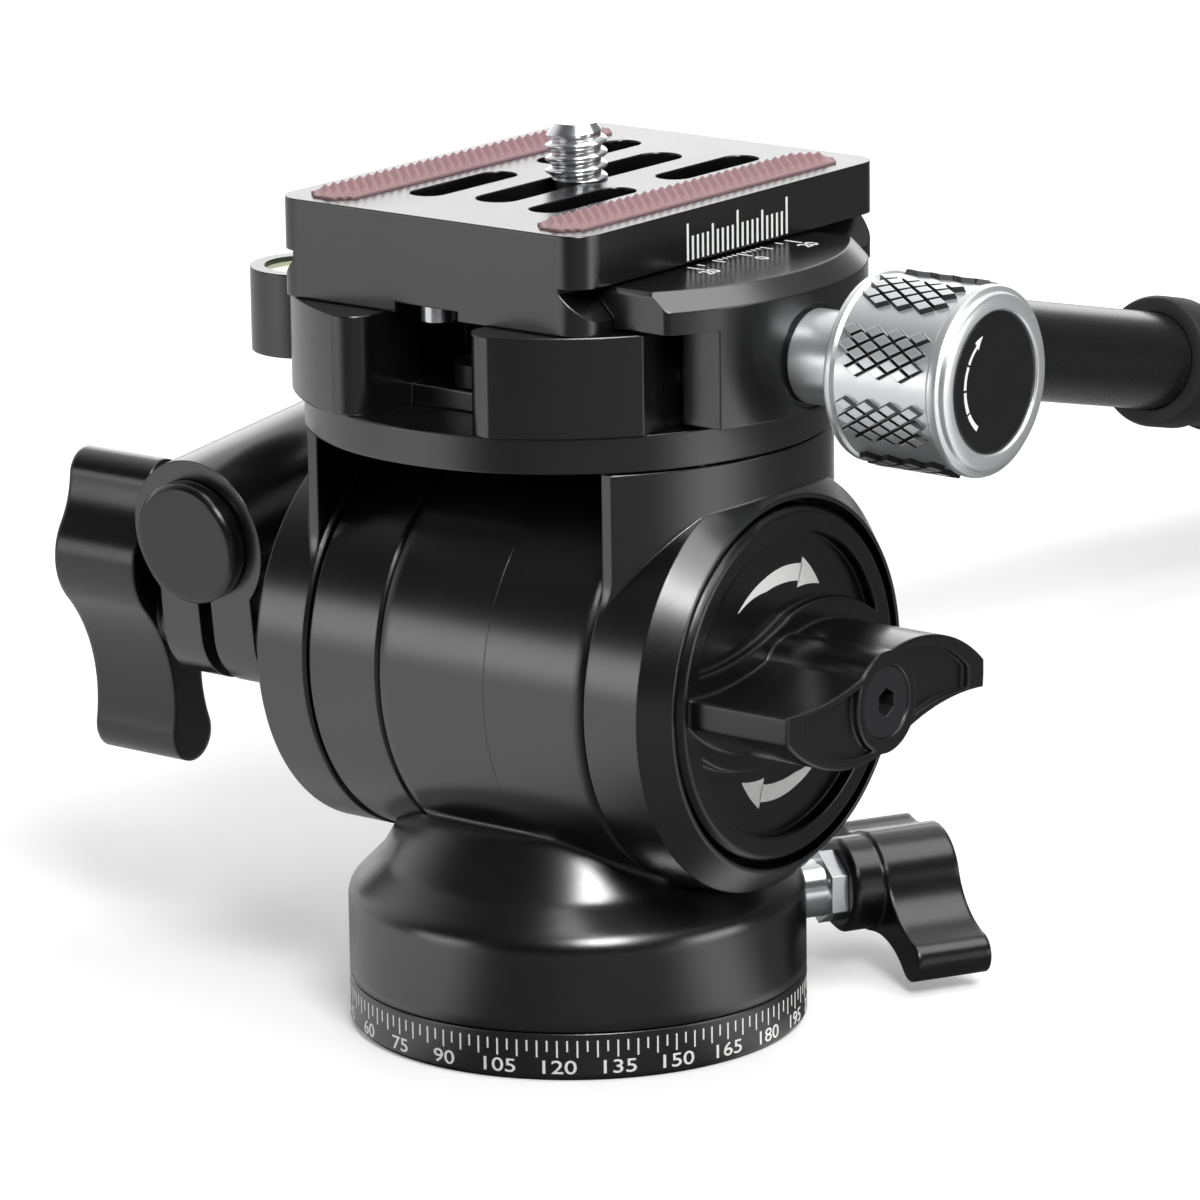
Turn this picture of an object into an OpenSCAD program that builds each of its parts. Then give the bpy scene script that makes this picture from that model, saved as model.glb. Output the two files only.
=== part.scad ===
// Small fluid video head with a quick-release clamp and a bent pan bar.
// Origin: centre of the base's underside. +Z up, +X along the tilt axis to the tilt knob,
// +Y along the camera plate, towards the operator who holds the pan bar.

/* [Base and pan housing] */
// Radius of the base plate and of the housing wall
base_r = 23.6; // [20:0.1:30]
// Thickness of the graduated base plate
base_h = 5; // [4:0.1:8]
// Seam between the base plate and the housing
seam = 0.2; // [0.1:0.05:0.5]
// Bevel round the underside of the base plate
base_bevel = 0.6; // [0.2:0.1:1.5]
// Radius of the tripod socket, for a 3/8 inch thread
socket_r = 4.76; // [3.1:0.01:5]
// Depth of the tripod socket
socket_depth = 9; // [5:0.1:10]
// Height of the housing's upright wall
wall_h = 8; // [7.5:0.1:14]
// Radius that rounds the housing's shoulder
shoulder_r = 2.4; // [1:0.1:4]
// Radius of the neck under the barrel
neck_r = 18.2; // [15:0.1:19.5]

/* [Pan spindle] */
// Radius of the spindle's post
spindle_r = 6; // [5.8:0.1:7]
// Radius of the spindle's hub in the base plate
spindle_hub_r = 8; // [7:0.1:9]
// Radius of the spindle's flange
flange_r = 13.5; // [12.5:0.1:16]
// Thickness of the spindle's flange
flange_t = 2; // [1.5:0.1:2.5]
// Radius of the threaded end that takes the nut
nut_thread_r = 4; // [3:0.1:5]
// Wall of the bush round the spindle
bush_wall = 2; // [1:0.1:2.5]
// Thickness of the sliding ring under the housing
slip_t = 1; // [0.5:0.1:1.5]

/* [Pan lock] */
// Direction of the pan lock, from the tilt axis towards the operator
lock_az = 62; // [40:1:75]
// Height of the pan lock's axis above the base plate's top
lock_rise = 4.6; // [4.5:0.1:6]
// Radius of the pan lock's stud
lock_stud_r = 3; // [2:0.1:3.2]
// Free length of stud between the housing and the wing
lock_stud_out = 4; // [2:0.1:8]
// Reach of the pan lock's lever from its axis
lock_arm = 14.2; // [12:0.1:18]
// Reach of the lever's tail on the other side
lock_tail = 9; // [8:0.1:12]
// Depth of the pan lock's lever along its axis
lock_wing_w = 8.4; // [6:0.1:14]
// Turn of the lever at rest
lock_turn = 30; // [0:1:60]

/* [Tilt barrel] */
// Radius of the damper barrel
barrel_r = 21.4; // [18:0.1:24]
// Width of the damper barrel
barrel_w = 35.1; // [32:0.1:44]
// Width of the barrel's end cover
cap_w = 9.2; // [7:0.1:11]
// Wall of the barrel round the damper chamber
chamber_wall = 4.4; // [3.8:0.1:6]
// Thickness of the barrel's end walls
end_wall = 4; // [3:0.1:6]
// Gap between the housing's shoulder and the cheeks
cheek_clear = 2; // [1:0.1:4]
// Radius of the tilt axle
axle_r = 4; // [3.6:0.1:5]
// Number of damping discs on the axle
damper_discs = 3; // [2:1:4]
// Thickness of a damping disc
disc_t = 1.8; // [1:0.1:2.4]

/* [Yoke] */
// How far the cheeks stand proud of the barrel all round
cheek_proud = 0.2; // [0:0.1:1]
// Running gap between the barrel and each cheek
cheek_gap = 0.25; // [0.15:0.05:0.6]
// Thickness of the left cheek
left_cheek_t = 6.7; // [5.5:0.1:9]
// Thickness of the right cheek
right_cheek_t = 9.4; // [8:0.1:12]
// Bevel round the right cheek's outer face
cheek_bevel = 2.6; // [1:0.1:3]
// Half the width of the yoke's arms
arm_half = 18.4; // [14:0.1:19.5]
// Radius of the fillet between arm and cheek
arm_fillet = 8; // [4:0.1:12]
// Radius of the platform disc on the arms
platform_r = 26.9; // [25.6:0.1:32]
// Thickness of the platform disc
platform_t = 3.6; // [3:0.1:6]
// Gap between the barrel and the platform disc
platform_clear = 2.8; // [1.5:0.1:5]
// Seam between the arms and the platform disc
arm_seam = 0.3; // [0.1:0.05:0.6]

/* [Tilt knob] */
// Gap between the knob's disc and the cup in the right cheek
knob_gap = 0.7; // [0.4:0.05:1.2]
// Rim of the cup in the right cheek
cup_rim = 0.4; // [0.3:0.1:1]
// Thickness of the knob's disc
knob_disc_t = 4; // [3:0.1:6]
// Height of the wing on the knob's disc
knob_wing_h = 11.9; // [7:0.1:16]
// Depth of the pockets in the knob's disc
pocket_d = 1.2; // [0.4:0.1:2]
// Radius of the knob's socket screw head
knob_screw_r = 3.6; // [3:0.1:4]

/* [Clamp] */
// Radius of the clamp body
clamp_r = 27.7; // [25:0.1:32]
// Height of the clamp body up to the plate's seat
clamp_h = 10.1; // [9:0.1:14]
// Distance from the plate's edge to the fixed jaw's outer face
fixed_reach = 7.8; // [6:0.1:10]
// Width of the channel along the clamp
channel_w = 12.8; // [12:0.1:16]
// Radius of the upright corners at the channel's mouths
mouth_r = 2.8; // [1.5:0.1:3.5]
// Thickness of the channel's floor
channel_floor = 2; // [1.5:0.1:3]
// Half the length of the bridge across the channel
bridge_half = 9; // [8:0.1:11]
// Distance from the plate's edge to the movable jaw's outer face
jaw_reach = 12.1; // [11:0.1:15]
// Radius of the movable jaw's outer face
jaw_r = 28.3; // [26:0.1:34]
// Thickness of the movable jaw's block
jaw_block_t = 7.2; // [6:0.1:8]
// Half the length of the movable jaw's block
jaw_block_half = 12; // [11:0.1:14]
// Half the length of the movable jaw's lip
jaw_lip_half = 16.8; // [14:0.1:19]
// Bevel along the lip's upper edge
jaw_bevel = 1.8; // [0.5:0.1:2.2]
// Gap between the clamp body and the movable jaw
jaw_gap = 1.6; // [1:0.1:3]
// Radius of the guide pins
guide_r = 1.5; // [1:0.1:2]
// Radius of the level's cup
level_r = 6; // [4.5:0.1:7]
// Height of the level's cup
level_h = 8.8; // [6:0.1:10]

/* [Clamp knob] */
// Radius of the clamp knob
knob_r = 9.7; // [7:0.1:10]
// Length of the clamp knob
knob_l = 14.1; // [8:0.1:18]
// Radius of the knob's collar
collar_r = 4.75; // [4.2:0.05:5.5]
// Length of the knob's collar
collar_l = 7.8; // [4:0.1:12]
// Radius of the clamp screw
clamp_screw_r = 2.9; // [2:0.1:3.2]
// Radius of the knob's inset cap
cap_r = 7; // [5:0.1:7.6]

/* [Camera plate] */
// Width of the camera plate
plate_w = 39; // [36:0.1:42]
// Length of the camera plate
plate_l = 50; // [46:0.1:60]
// Thickness of the camera plate
plate_t = 10; // [9:0.1:12]
// Offset of the plate across the clamp
plate_x = -0.9; // [-2:0.1:2]
// Offset of the plate along the clamp
plate_y = 3.3; // [-3:0.1:5]
// Radius of the plate's upright corners
plate_corner = 3; // [1.5:0.1:4]
// Depth of the dovetail on each side of the plate
dovetail = 2.9; // [2:0.1:3.2]
// Width of the plate's slots
slot_w = 4; // [3:0.1:4.2]
// Length of a short slot
slot_l = 15; // [10:0.1:16]
// Distance between the columns of slots
slot_pitch = 7.6; // [7.4:0.1:8.4]
// Length of the middle slot
screw_slot_l = 31; // [24:0.1:33]
// Width of a rubber strip
strip_w = 5.4; // [4:0.1:6]
// Length of a rubber strip
strip_l = 45; // [30:0.1:45.5]
// Height of a rubber strip above the plate
strip_h = 0.8; // [0.3:0.1:1.5]
// Radius of the camera screw, 1/4 inch
camera_screw_r = 3.175; // [2.9:0.005:3.3]
// Height of the camera screw above the plate
camera_screw_h = 5.8; // [4:0.1:8]

/* [Pan bar] */
// Radius of the pan bar
bar_r = 6; // [5:0.1:7]
// Wall of the pan bar
bar_wall = 1.5; // [1:0.1:2.5]
// Upward pitch of the bar's root
bar_pitch = 6.5; // [0:0.5:12]
// Angle of the bend in the bar
bar_bend = 19.5; // [5:0.5:30]
// Radius of the bend at the bar's centre line
bend_r = 30; // [20:1:60]
// Length from the clamp's pivot to the bend
bar_root_l = 74; // [60:1:120]
// Length from the bend to the grip
bar_reach_l = 101; // [60:1:160]
// Length of the grip
grip_l = 101; // [60:1:140]
// Radius of the grip
grip_r = 8.1; // [7.6:0.1:10]
// Wall of the split clamp round the bar
sleeve_wall = 2.5; // [1.5:0.1:4]
// Length of the split clamp
sleeve_l = 26; // [20:0.1:34]
// Height of the bar's axis above the clamp's pivot
bar_rise = 10.9; // [10.5:0.1:14]
// Radius of the split clamp's lugs
lug_r = 6.3; // [5:0.1:7]
// Width of the clamp's slit
slit_w = 1.8; // [1:0.1:3]
// Gap between the left cheek and the split clamp's sleeve
sleeve_gap = 4.4; // [3.5:0.1:8]
// Offset of the clamp's pivot along the plate, from the tilt axis
pivot_y = -7.6; // [-9:0.1:-7.2]
// Offset of the clamp's pivot below the tilt axis
pivot_drop = 1.2; // [0:0.1:4]
// Reach of the bar clamp's lever from the middle of its swell
bar_arm = 22.4; // [18:0.1:26]
// Reach of the lever's tail on the other side
bar_tail = 11.2; // [10:0.1:13]
// Depth of the bar clamp's lever along its axis
bar_wing_w = 10.9; // [6:0.1:14]
// Radius of the wing's stud
wing_stud_r = 2.5; // [2:0.1:2.6]

/* [Hidden] */
$fn = 96;

black = [0.05, 0.05, 0.055];
dark = [0.12, 0.12, 0.125];
steel = [0.75, 0.76, 0.78];
silver = [0.82, 0.83, 0.85];
brass = [0.72, 0.58, 0.28];
rubber = [0.62, 0.40, 0.38];
nylon = [0.85, 0.84, 0.80];

// Clearances: a seat between fixed pieces, a running fit, a thread, and flat faces that slide
seat = 0.02;
run = 0.04;
thread_gap = 0.1;
face_gap = 0.05;
past = 1;

// Heights from the base upwards
housing_z = base_h + seam;
wall_top = housing_z + wall_h;
shoulder_top = wall_top + shoulder_r;
cheek_r = barrel_r + cheek_proud;
tilt_z = shoulder_top + cheek_clear + cheek_r;
platform_z = tilt_z + barrel_r + platform_clear;
platform_top = platform_z + platform_t;
seat_z = platform_top + clamp_h;
plate_z = seat_z + face_gap;
plate_top = plate_z + plate_t;

// Pan spindle, its nut and the cavity round it
slip_z = base_h + face_gap;
slip_in = flange_r + 0.5;
slip_out = base_r - 2.4;
ledge_z = wall_top + 0.8;
spindle_top = ledge_z - face_gap;
bush_z = slip_z + slip_t + 0.4;
bush_r = spindle_r + bush_wall;
wave_t = 0.7;
wave_r = bush_r + 0.6;
nut_flats = 13;
nut_h = 4;
nut_z = ledge_z + 2 * face_gap + wave_t;
thread_top = nut_z + nut_h + 0.6;
cavity_r = wave_r + 0.6;
flange_screw_at = (spindle_hub_r + flange_r) / 2;
flange_screw_r = 1.4;
flange_head_r = 2.5;
flange_head_t = 1.5;
flange_screws = 3;

// Pan lock along its own axis
lock_z = base_h + lock_rise;
shoe_r = lock_stud_r - 0.3;
shoe_in = spindle_r + face_gap;
shoe_out = bush_r + 2.6;
lock_hex_in = base_r + lock_stud_out;
lock_hex_t = 1.9;
lock_hex_r = lock_stud_r + 0.9;
lock_collar_in = lock_hex_in + lock_hex_t;
lock_collar_l = 3.6;
lock_collar_r = lock_stud_r + 2;
lock_wing_in = lock_collar_in + lock_collar_l;
lock_stud_end = lock_wing_in + 3;
lock_hub_r = lock_collar_r + 0.3;
lock_end_r = 2.15;
lock_flank = 8;
lock_tail_bend = -8;

// Tilt barrel across the head
half_w = barrel_w / 2;
cap_x = -half_w + cap_w;
cap_seam = 0.1;
seam_bevel = 0.3;
chamber_r = barrel_r - chamber_wall;
chamber_half = half_w - end_wall;
spigot_l = 3;
spigot_wall = 1.6;
tilt_bush_r = axle_r + 2.5;
tilt_flange_r = tilt_bush_r + 1.5;
tilt_flange_t = 1;
seal_t = 1;
cap_screw_at = barrel_r - 2;
cap_screw_r = 1.2;
cap_head_r = 1.8;
cap_head_t = 2;
cap_screw_l = 14;
rotor_hub_r = axle_r + 2;
rotor_r = chamber_r - 1.4;
stator_in = rotor_hub_r + 1;
disc_pitch = 2 * (chamber_half - tilt_flange_t - seal_t - 1) / damper_discs;

// Yoke on both sides of the barrel
cheek_x = half_w + cheek_gap;
left_x = cheek_x + left_cheek_t;
right_x = cheek_x + right_cheek_t;
arm_inset = 0.4;
arm_r = platform_r - 0.2;
arm_top = platform_z - arm_seam;
left_bevel = 0.5;
platform_screw_y = arm_half - 10.4;
platform_screw_x = cheek_x + 4;
platform_screw_r = 1.5;
platform_head_r = 2.7;
platform_head_t = 2.2;
platform_screw_l = 5.5;

// Tilt axle and tilt knob
axle_end_r = axle_r - 1;
axle_left = left_x - 2.2;
cup_floor = right_x - knob_disc_t - 0.7;
cup_r = cheek_r - cheek_bevel + 0.2 - cup_rim;
knob_disc_r = cup_r - knob_gap;
friction_t = 0.8;
knob_x = cup_floor + 2 * face_gap + friction_t;
knob_face = knob_x + knob_disc_t;
knob_wing_x = knob_face + knob_wing_h;
knob_wing_half = knob_disc_r - 1.4;
insert_l = 6.5;
insert_r = axle_end_r + 1.2;
insert_x = knob_x + 0.6;
axle_right = insert_x + insert_l - 0.5;
knob_head_t = 2.5;
knob_shank_r = 1.6;
knob_head_x = knob_wing_x - knob_head_t;
knob_shank_in = axle_right - 4;
pocket_r = knob_disc_r - 2.6;
pocket_off = 2.1;
wing_pocket_d = 0.7;

// Quick-release clamp
plate_left = plate_x - plate_w / 2;
plate_right = plate_x + plate_w / 2;
clamp_x = plate_left - fixed_reach + clamp_r;
body_z = platform_top + face_gap;
floor_z = body_z + channel_floor;
jaw_face = plate_right + jaw_reach;
jaw_x = jaw_face - jaw_r;
jaw_in = jaw_face - jaw_block_t;
body_right = jaw_in - jaw_gap;
jaw_slip = 0.12;
flange_h = 1.3;
neck_h = flange_h + dovetail;
band_h = neck_h + 0.5;
jaw_top = plate_z + band_h - 0.3;
hook_top = plate_z + band_h - 0.3;
lip_z = seat_z + 0.4;
jaw_z = platform_top + 0.6;
hook_half = 16;
screw_z = body_z + clamp_h * 0.61;
guide_y = 7.8;
guide_z = body_z + clamp_h * 0.5;
guide_in = body_right - 10;
guide_out = jaw_in + 4.5;
spring_r = guide_r + 0.9;
spring_wall = 0.6;
spring_l = 6;
clamp_screw_in = plate_x + 6;
mount_screw_y = bridge_half + 4.5;
mount_screw_r = 1.9;
mount_head_r = 3.4;
mount_head_t = 2.4;
mount_screw_l = 4.6;
channel_x = plate_x + 1.1;
floor_half = mount_screw_y + mount_head_r + 0.8;
lip_end_r = 1.6;
lip_end_bevel = 0.4;
level_x = clamp_x - clamp_r - level_r - 0.2;
level_z = seat_z - level_h - 2.2;
level_wall = 1.5;
level_web = 2 * level_r - 3;

// Clamp knob on the jaw
spot_face = jaw_face - 0.3;
spot_r = collar_r + 0.5;
collar_x = spot_face + face_gap;
knob_in = collar_x + collar_l;
knob_out = knob_in + knob_l;
knob_rim = 1;
cap_inset = 1.2;
flutes = 8;
flute_r = 3.2;
flute_depth = 0.7;

// Camera plate
slot_y = slot_l / 2 + 2.8;
slot_shift = 1;
groove_w = 8;
groove_d = 1;
head_r = 4.8;
head_pocket_w = 2 * head_r + 0.6;
head_pocket_d = 4;
screw_neck_r = 2.2;
middle_slot_w = 2 * screw_neck_r + 0.4;
screw_y = plate_y - 0.6;
screw_travel = (screw_slot_l - middle_slot_w) / 2;
head_pocket_l = 2 * (screw_travel + head_r + 1);
washer_t = 0.8;
head_t = 2.2;
stop_r = 1.7;
stop_in = 1.05;
stop_out = 0.6;
stop_deep = 3;
strip_x = plate_w / 2 - strip_w / 2 - 2.4;
strip_sink = 0.4;

// Pan bar and its split clamp, in a frame whose origin is the clamp's pivot
pivot_z = tilt_z - pivot_drop;
sleeve_r = bar_r + sleeve_wall;
bar_x = -(left_x + sleeve_gap + sleeve_r);
lug_left = bar_x - slit_w / 2 - 5;
lug_right = bar_x + slit_w / 2 + 5.4;
washer_gap = 0.1;
clamp_washer_t = 0.8;
clamp_face = -left_x - clamp_washer_t - 2 * washer_gap;
sleeve_front = -lug_r;
sleeve_back = sleeve_front + sleeve_l;
end_cap_r = bar_r + 0.5;
end_cap_t = 1.9;
end_plug_l = 6;
bar_front = sleeve_front - 0.3;
collar_t = 2.9;
bar_collar_r = wing_stud_r + 1.6;
bar_wing_x = lug_left - washer_gap - collar_t;
stud_in = -left_x + left_cheek_t - 2.1;
bar_hub_r = 6.85;
bar_hub_y = -0.85;
bar_hub_up = 5.3;
bar_lever_turn = 275.5;
bar_end_r = 3;
bar_flank = 17;
bar_tail_bend = 4;
stud_out = bar_wing_x - 3;
bend_run = bend_r * tan(bar_bend / 2);
// The tube is drawn a hair slimmer where it bends
bend_draw = 0.04;
grip_over = 0.2;
grip_cap_t = 3;

// Plain helpers

// Extrudes a profile drawn in Y and Z along +X, from x0 to x1
module along_x(x0, x1) {
    translate([x0, 0, 0]) rotate([90, 0, 90]) linear_extrude(x1 - x0) children();
}

// Extrudes a profile drawn in X and Z along Y, from y0 to y1
module along_y(y0, y1) {
    translate([0, y1, 0]) rotate([90, 0, 0]) linear_extrude(y1 - y0) children();
}

// Round rod along X
module rod_x(x0, x1, r) {
    translate([x0, 0, 0]) rotate([0, 90, 0]) cylinder(h = x1 - x0, r = r);
}

// Cone along X
module cone_x(x0, x1, r0, r1) {
    translate([x0, 0, 0]) rotate([0, 90, 0]) cylinder(h = x1 - x0, r1 = r0, r2 = r1);
}

// Ring about X
module ring_x(x0, x1, r_in, r_out) {
    difference() {
        rod_x(x0, x1, r_out);
        rod_x(x0 - past, x1 + past, r_in);
    }
}

// Ring about Z
module ring_z(z0, z1, r_in, r_out) {
    difference() {
        translate([0, 0, z0]) cylinder(h = z1 - z0, r = r_out);
        translate([0, 0, z0 - past]) cylinder(h = z1 - z0 + 2 * past, r = r_in);
    }
}

// Disc or block with a vertical axis
module post(x, y, z0, z1, r) {
    translate([x, y, z0]) cylinder(h = z1 - z0, r = r);
}

module block(x0, x1, y0, y1, z0, z1) {
    translate([x0, y0, z0]) cube([x1 - x0, y1 - y0, z1 - z0]);
}

// Rectangle with round corners
module rounded(w, l, r) {
    square([w - 2 * r, l], center = true);
    square([w, l - 2 * r], center = true);
    for (sx = [-1, 1], sy = [-1, 1])
        translate([sx * (w / 2 - r), sy * (l / 2 - r)]) circle(r);
}

// S-shaped wing profile: convex back and hollow belly on each arm, half turned for the other.
// The two arcs are held as shares of the half length, and meet at the hub's half thickness.
wing_back = 1.043;
wing_back_at = 0.282;
wing_belly = 1.84;
wing_belly_at = 0.798;
wing_hub = 0.293;
module wing_arm(half) {
    back_y = (wing_hub - sqrt(pow(wing_back, 2) - pow(wing_back_at, 2))) * half;
    belly_y = -(wing_hub + sqrt(pow(wing_belly, 2) - pow(wing_belly_at, 2))) * half;
    intersection() {
        translate([0, -half]) square([half, 2 * half]);
        circle(half);
        difference() {
            translate([wing_back_at * half, back_y]) circle(wing_back * half);
            translate([wing_belly_at * half, belly_y]) circle(wing_belly * half);
            translate([-half, -3 * half]) square([4 * half, 2.6 * half]);
        }
    }
}
module wing(half) {
    wing_arm(half);
    rotate(180) wing_arm(half);
}

// One arm of a clamp lever along +Y: hollow flanks run from the round hub to a swollen end
module lever_arm(hub, reach, end_r, flank) {
    end_at = reach - end_r;
    flank_at = (pow(hub + flank, 2) - pow(end_r + flank, 2) + pow(end_at, 2)) / (2 * end_at);
    flank_off = sqrt(pow(hub + flank, 2) - pow(flank_at, 2));
    from_hub = hub / (hub + flank);
    from_end = end_r / (end_r + flank);
    translate([end_at, 0]) circle(end_r);
    for (side = [-1, 1]) difference() {
        polygon([
            [0, 0], [flank_at * from_hub, side * flank_off * from_hub],
            [end_at + (flank_at - end_at) * from_end, side * flank_off * from_end], [end_at, 0]
        ]);
        translate([flank_at, side * flank_off]) circle(flank);
    }
}
module lever(hub, arm, tail, end_r, flank, bend) {
    circle(hub);
    lever_arm(hub, arm, end_r, flank);
    rotate(180 + bend) lever_arm(hub, tail, end_r * 0.9, flank * 0.6);
}

// Everything on the tilt axis is drawn about X and lifted to the axis
module at_tilt() {
    translate([0, 0, tilt_z]) children();
}

// The pan lock's own frame: X along its axis, outwards
module at_lock() {
    translate([0, 0, lock_z]) rotate([0, 0, lock_az]) children();
}

// The bar clamp's own frame: X across the head, Y along the bar's root
module at_pivot() {
    translate([0, pivot_y, pivot_z]) rotate([bar_pitch, 0, 0]) children();
}

// Along the bar's centre line: the root is along Y, and the end is bent down
module at_bar() {
    at_pivot() translate([bar_x, 0, bar_rise]) children();
}
module past_bend() {
    at_bar() translate([0, bar_root_l, 0]) rotate([-bar_bend, 0, 0]) children();
}
module rod_y(y0, y1, r) {
    translate([0, y0, 0]) rotate([-90, 0, 0]) cylinder(h = y1 - y0, r = r);
}

// Base

module flange_screw_places() {
    for (i = [0:flange_screws - 1])
        rotate([0, 0, 360 * i / flange_screws]) translate([flange_screw_at, 0, 0]) children();
}

module base_plate() {
    color(black) difference() {
        union() {
            cylinder(h = base_bevel, r1 = base_r - base_bevel, r2 = base_r);
            post(0, 0, base_bevel, base_h, base_r);
        }
        post(0, 0, -past, base_h + past, spindle_hub_r + seat);
        post(0, 0, base_h - flange_t - seat, base_h + past, flange_r + seat);
        flange_screw_places() {
            post(0, 0, -past, base_h, flange_screw_r + thread_gap);
            post(0, 0, -past, flange_head_t + 0.2, flange_head_r + thread_gap);
        }
    }
}

module base_screws() {
    color(steel) flange_screw_places() {
        post(0, 0, flange_head_t - 1.3, flange_head_t, flange_head_r);
        post(0, 0, flange_head_t - 0.1, base_h - 0.6, flange_screw_r);
    }
}

module pan_spindle() {
    color(steel) difference() {
        union() {
            post(0, 0, 0, base_h, spindle_hub_r);
            post(0, 0, base_h - flange_t, base_h, flange_r);
            post(0, 0, base_h - flange_t, spindle_top, spindle_r);
            post(0, 0, spindle_top - past, thread_top, nut_thread_r);
        }
        post(0, 0, -past, socket_depth, socket_r);
        flange_screw_places() post(0, 0, -past, base_h - 0.4, flange_screw_r + thread_gap);
    }
}

module wave_washer() {
    color(steel) ring_z(ledge_z + face_gap, ledge_z + face_gap + wave_t, nut_thread_r + thread_gap, wave_r);
}

module pan_nut() {
    color(steel) difference() {
        translate([0, 0, nut_z]) cylinder(h = nut_h, r = nut_flats / sqrt(3), $fn = 6);
        post(0, 0, nut_z - past, nut_z + nut_h + past, nut_thread_r + seat);
    }
}

// Pan housing

module housing_profile() {
    lean = 45;
    knee_r = neck_r + 2;
    knee_z = shoulder_top + 2;
    round_x = base_r - shoulder_r + shoulder_r * sin(lean);
    round_z = wall_top + shoulder_r * cos(lean);
    translate([0, housing_z]) square([base_r, wall_h]);
    translate([base_r - shoulder_r, wall_top]) circle(shoulder_r);
    polygon([
        [0, housing_z], [round_x, wall_top], [round_x, round_z], [knee_r, knee_z],
        [neck_r, knee_z + 3.4], [neck_r - 1.4, tilt_z - chamber_r + 1], [0, tilt_z - chamber_r + 1]
    ]);
}

// Rod along X whose ends are bevelled where it meets its neighbours in a seam
module bevelled_rod(x0, x1, r) {
    cone_x(x0, x0 + seam_bevel, r - seam_bevel, r);
    rod_x(x0 + seam_bevel, x1 - seam_bevel, r);
    cone_x(x1 - seam_bevel, x1, r, r - seam_bevel);
}

module pan_housing() {
    color(black) difference() {
        union() {
            rotate_extrude() housing_profile();
            at_tilt() bevelled_rod(cap_x, half_w, barrel_r);
        }
        // Room for the sliding ring, the spindle's bush and the nut
        post(0, 0, housing_z - past, slip_z + slip_t + face_gap, slip_out + 0.2);
        post(0, 0, housing_z, tilt_z - chamber_r + 2, bush_r + seat);
        post(0, 0, ledge_z, tilt_z - chamber_r + 2, cavity_r);
        // Threaded hole of the pan lock
        at_lock() rod_x(bush_r - past, base_r + past, lock_stud_r + thread_gap);
        at_tilt() {
            // Damper chamber and the seat of the right bush
            rod_x(cap_x - past, chamber_half, chamber_r);
            rod_x(0, half_w + past, tilt_bush_r + seat);
            // Seat of the end cover, and room for the cheeks on both sides
            rod_x(-half_w - base_r, cap_x, barrel_r + cap_seam);
            rod_x(half_w, base_r + past, cheek_r + 0.5);
            rod_x(-base_r - past, -half_w, cheek_r + 0.5);
            cap_screw_places() rod_x(cap_x - past, cap_x + cap_screw_l, cap_screw_r + thread_gap);
        }
    }
}

module slip_washer() {
    color(nylon) ring_z(slip_z, slip_z + slip_t, slip_in, slip_out);
}

module pan_bush() {
    color(brass) difference() {
        ring_z(bush_z, ledge_z - face_gap, spindle_r + run, bush_r);
        at_lock() rod_x(0, base_r, shoe_r + thread_gap);
    }
}

module brake_shoe() {
    color(brass) intersection() {
        at_lock() rod_x(0, shoe_out, shoe_r);
        ring_z(0, tilt_z, shoe_in, shoe_out);
    }
}

// Barrel and damper

module cap_screw_places() {
    for (a = [45:90:315]) rotate([a, 0, 0]) translate([0, cap_screw_at, 0]) children();
}

module barrel_cap() {
    color(black) at_tilt() difference() {
        union() {
            bevelled_rod(-half_w, cap_x - cap_seam, barrel_r);
            rod_x(-half_w + past, cap_x + spigot_l, chamber_r - seat);
        }
        rod_x(-chamber_half, cap_x + spigot_l + past, chamber_r - spigot_wall);
        rod_x(-half_w - past, 0, tilt_bush_r + seat);
        cap_screw_places() {
            rod_x(-half_w - past, cap_x + past, cap_screw_r + thread_gap);
            rod_x(-half_w - past, -half_w + cap_head_t, cap_head_r + thread_gap);
        }
    }
}

module cap_screws() {
    color(steel) at_tilt() cap_screw_places() {
        rod_x(-half_w + 0.3, -half_w + cap_head_t - face_gap, cap_head_r);
        rod_x(-half_w + past, cap_x + cap_screw_l - past, cap_screw_r);
    }
}

module tilt_bushes() {
    color(brass) at_tilt() for (side = [-1, 1]) mirror([side < 0 ? 1 : 0, 0, 0]) {
        difference() {
            union() {
                rod_x(chamber_half, half_w - face_gap, tilt_bush_r);
                rod_x(chamber_half - tilt_flange_t, chamber_half - seat, tilt_flange_r);
                rod_x(chamber_half - tilt_flange_t, chamber_half + past, tilt_bush_r);
            }
            rod_x(0, half_w + past, axle_r + run);
        }
    }
}

module axle_seals() {
    seal_x = chamber_half - tilt_flange_t - seal_t - face_gap;
    color(dark) at_tilt() for (side = [-1, 1]) mirror([side < 0 ? 1 : 0, 0, 0])
        ring_x(seal_x, seal_x + seal_t, axle_r + run, tilt_bush_r);
}

// Discs stand every pitch, and the fixed rings stand half a pitch further on
function disc_x(i) = (i - (damper_discs - 1) / 2) * disc_pitch - disc_pitch / 4;

module damper_rotor() {
    color(brass) at_tilt() difference() {
        union() {
            rod_x(disc_x(0) - disc_pitch / 4, disc_x(damper_discs - 1) + disc_pitch / 4, rotor_hub_r);
            for (i = [0:damper_discs - 1])
                rod_x(disc_x(i) - disc_t / 2, disc_x(i) + disc_t / 2, rotor_r - spigot_wall);
        }
        rod_x(-half_w, half_w, axle_r + seat);
    }
}

module damper_stator() {
    color(steel) at_tilt() for (i = [0:damper_discs - 1]) {
        x = disc_x(i) + disc_pitch / 2;
        outer = x < cap_x + spigot_l + disc_t ? chamber_r - spigot_wall : chamber_r;
        ring_x(x - disc_t / 2, x + disc_t / 2, stator_in, outer - seat);
    }
}

// Pan lock

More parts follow.
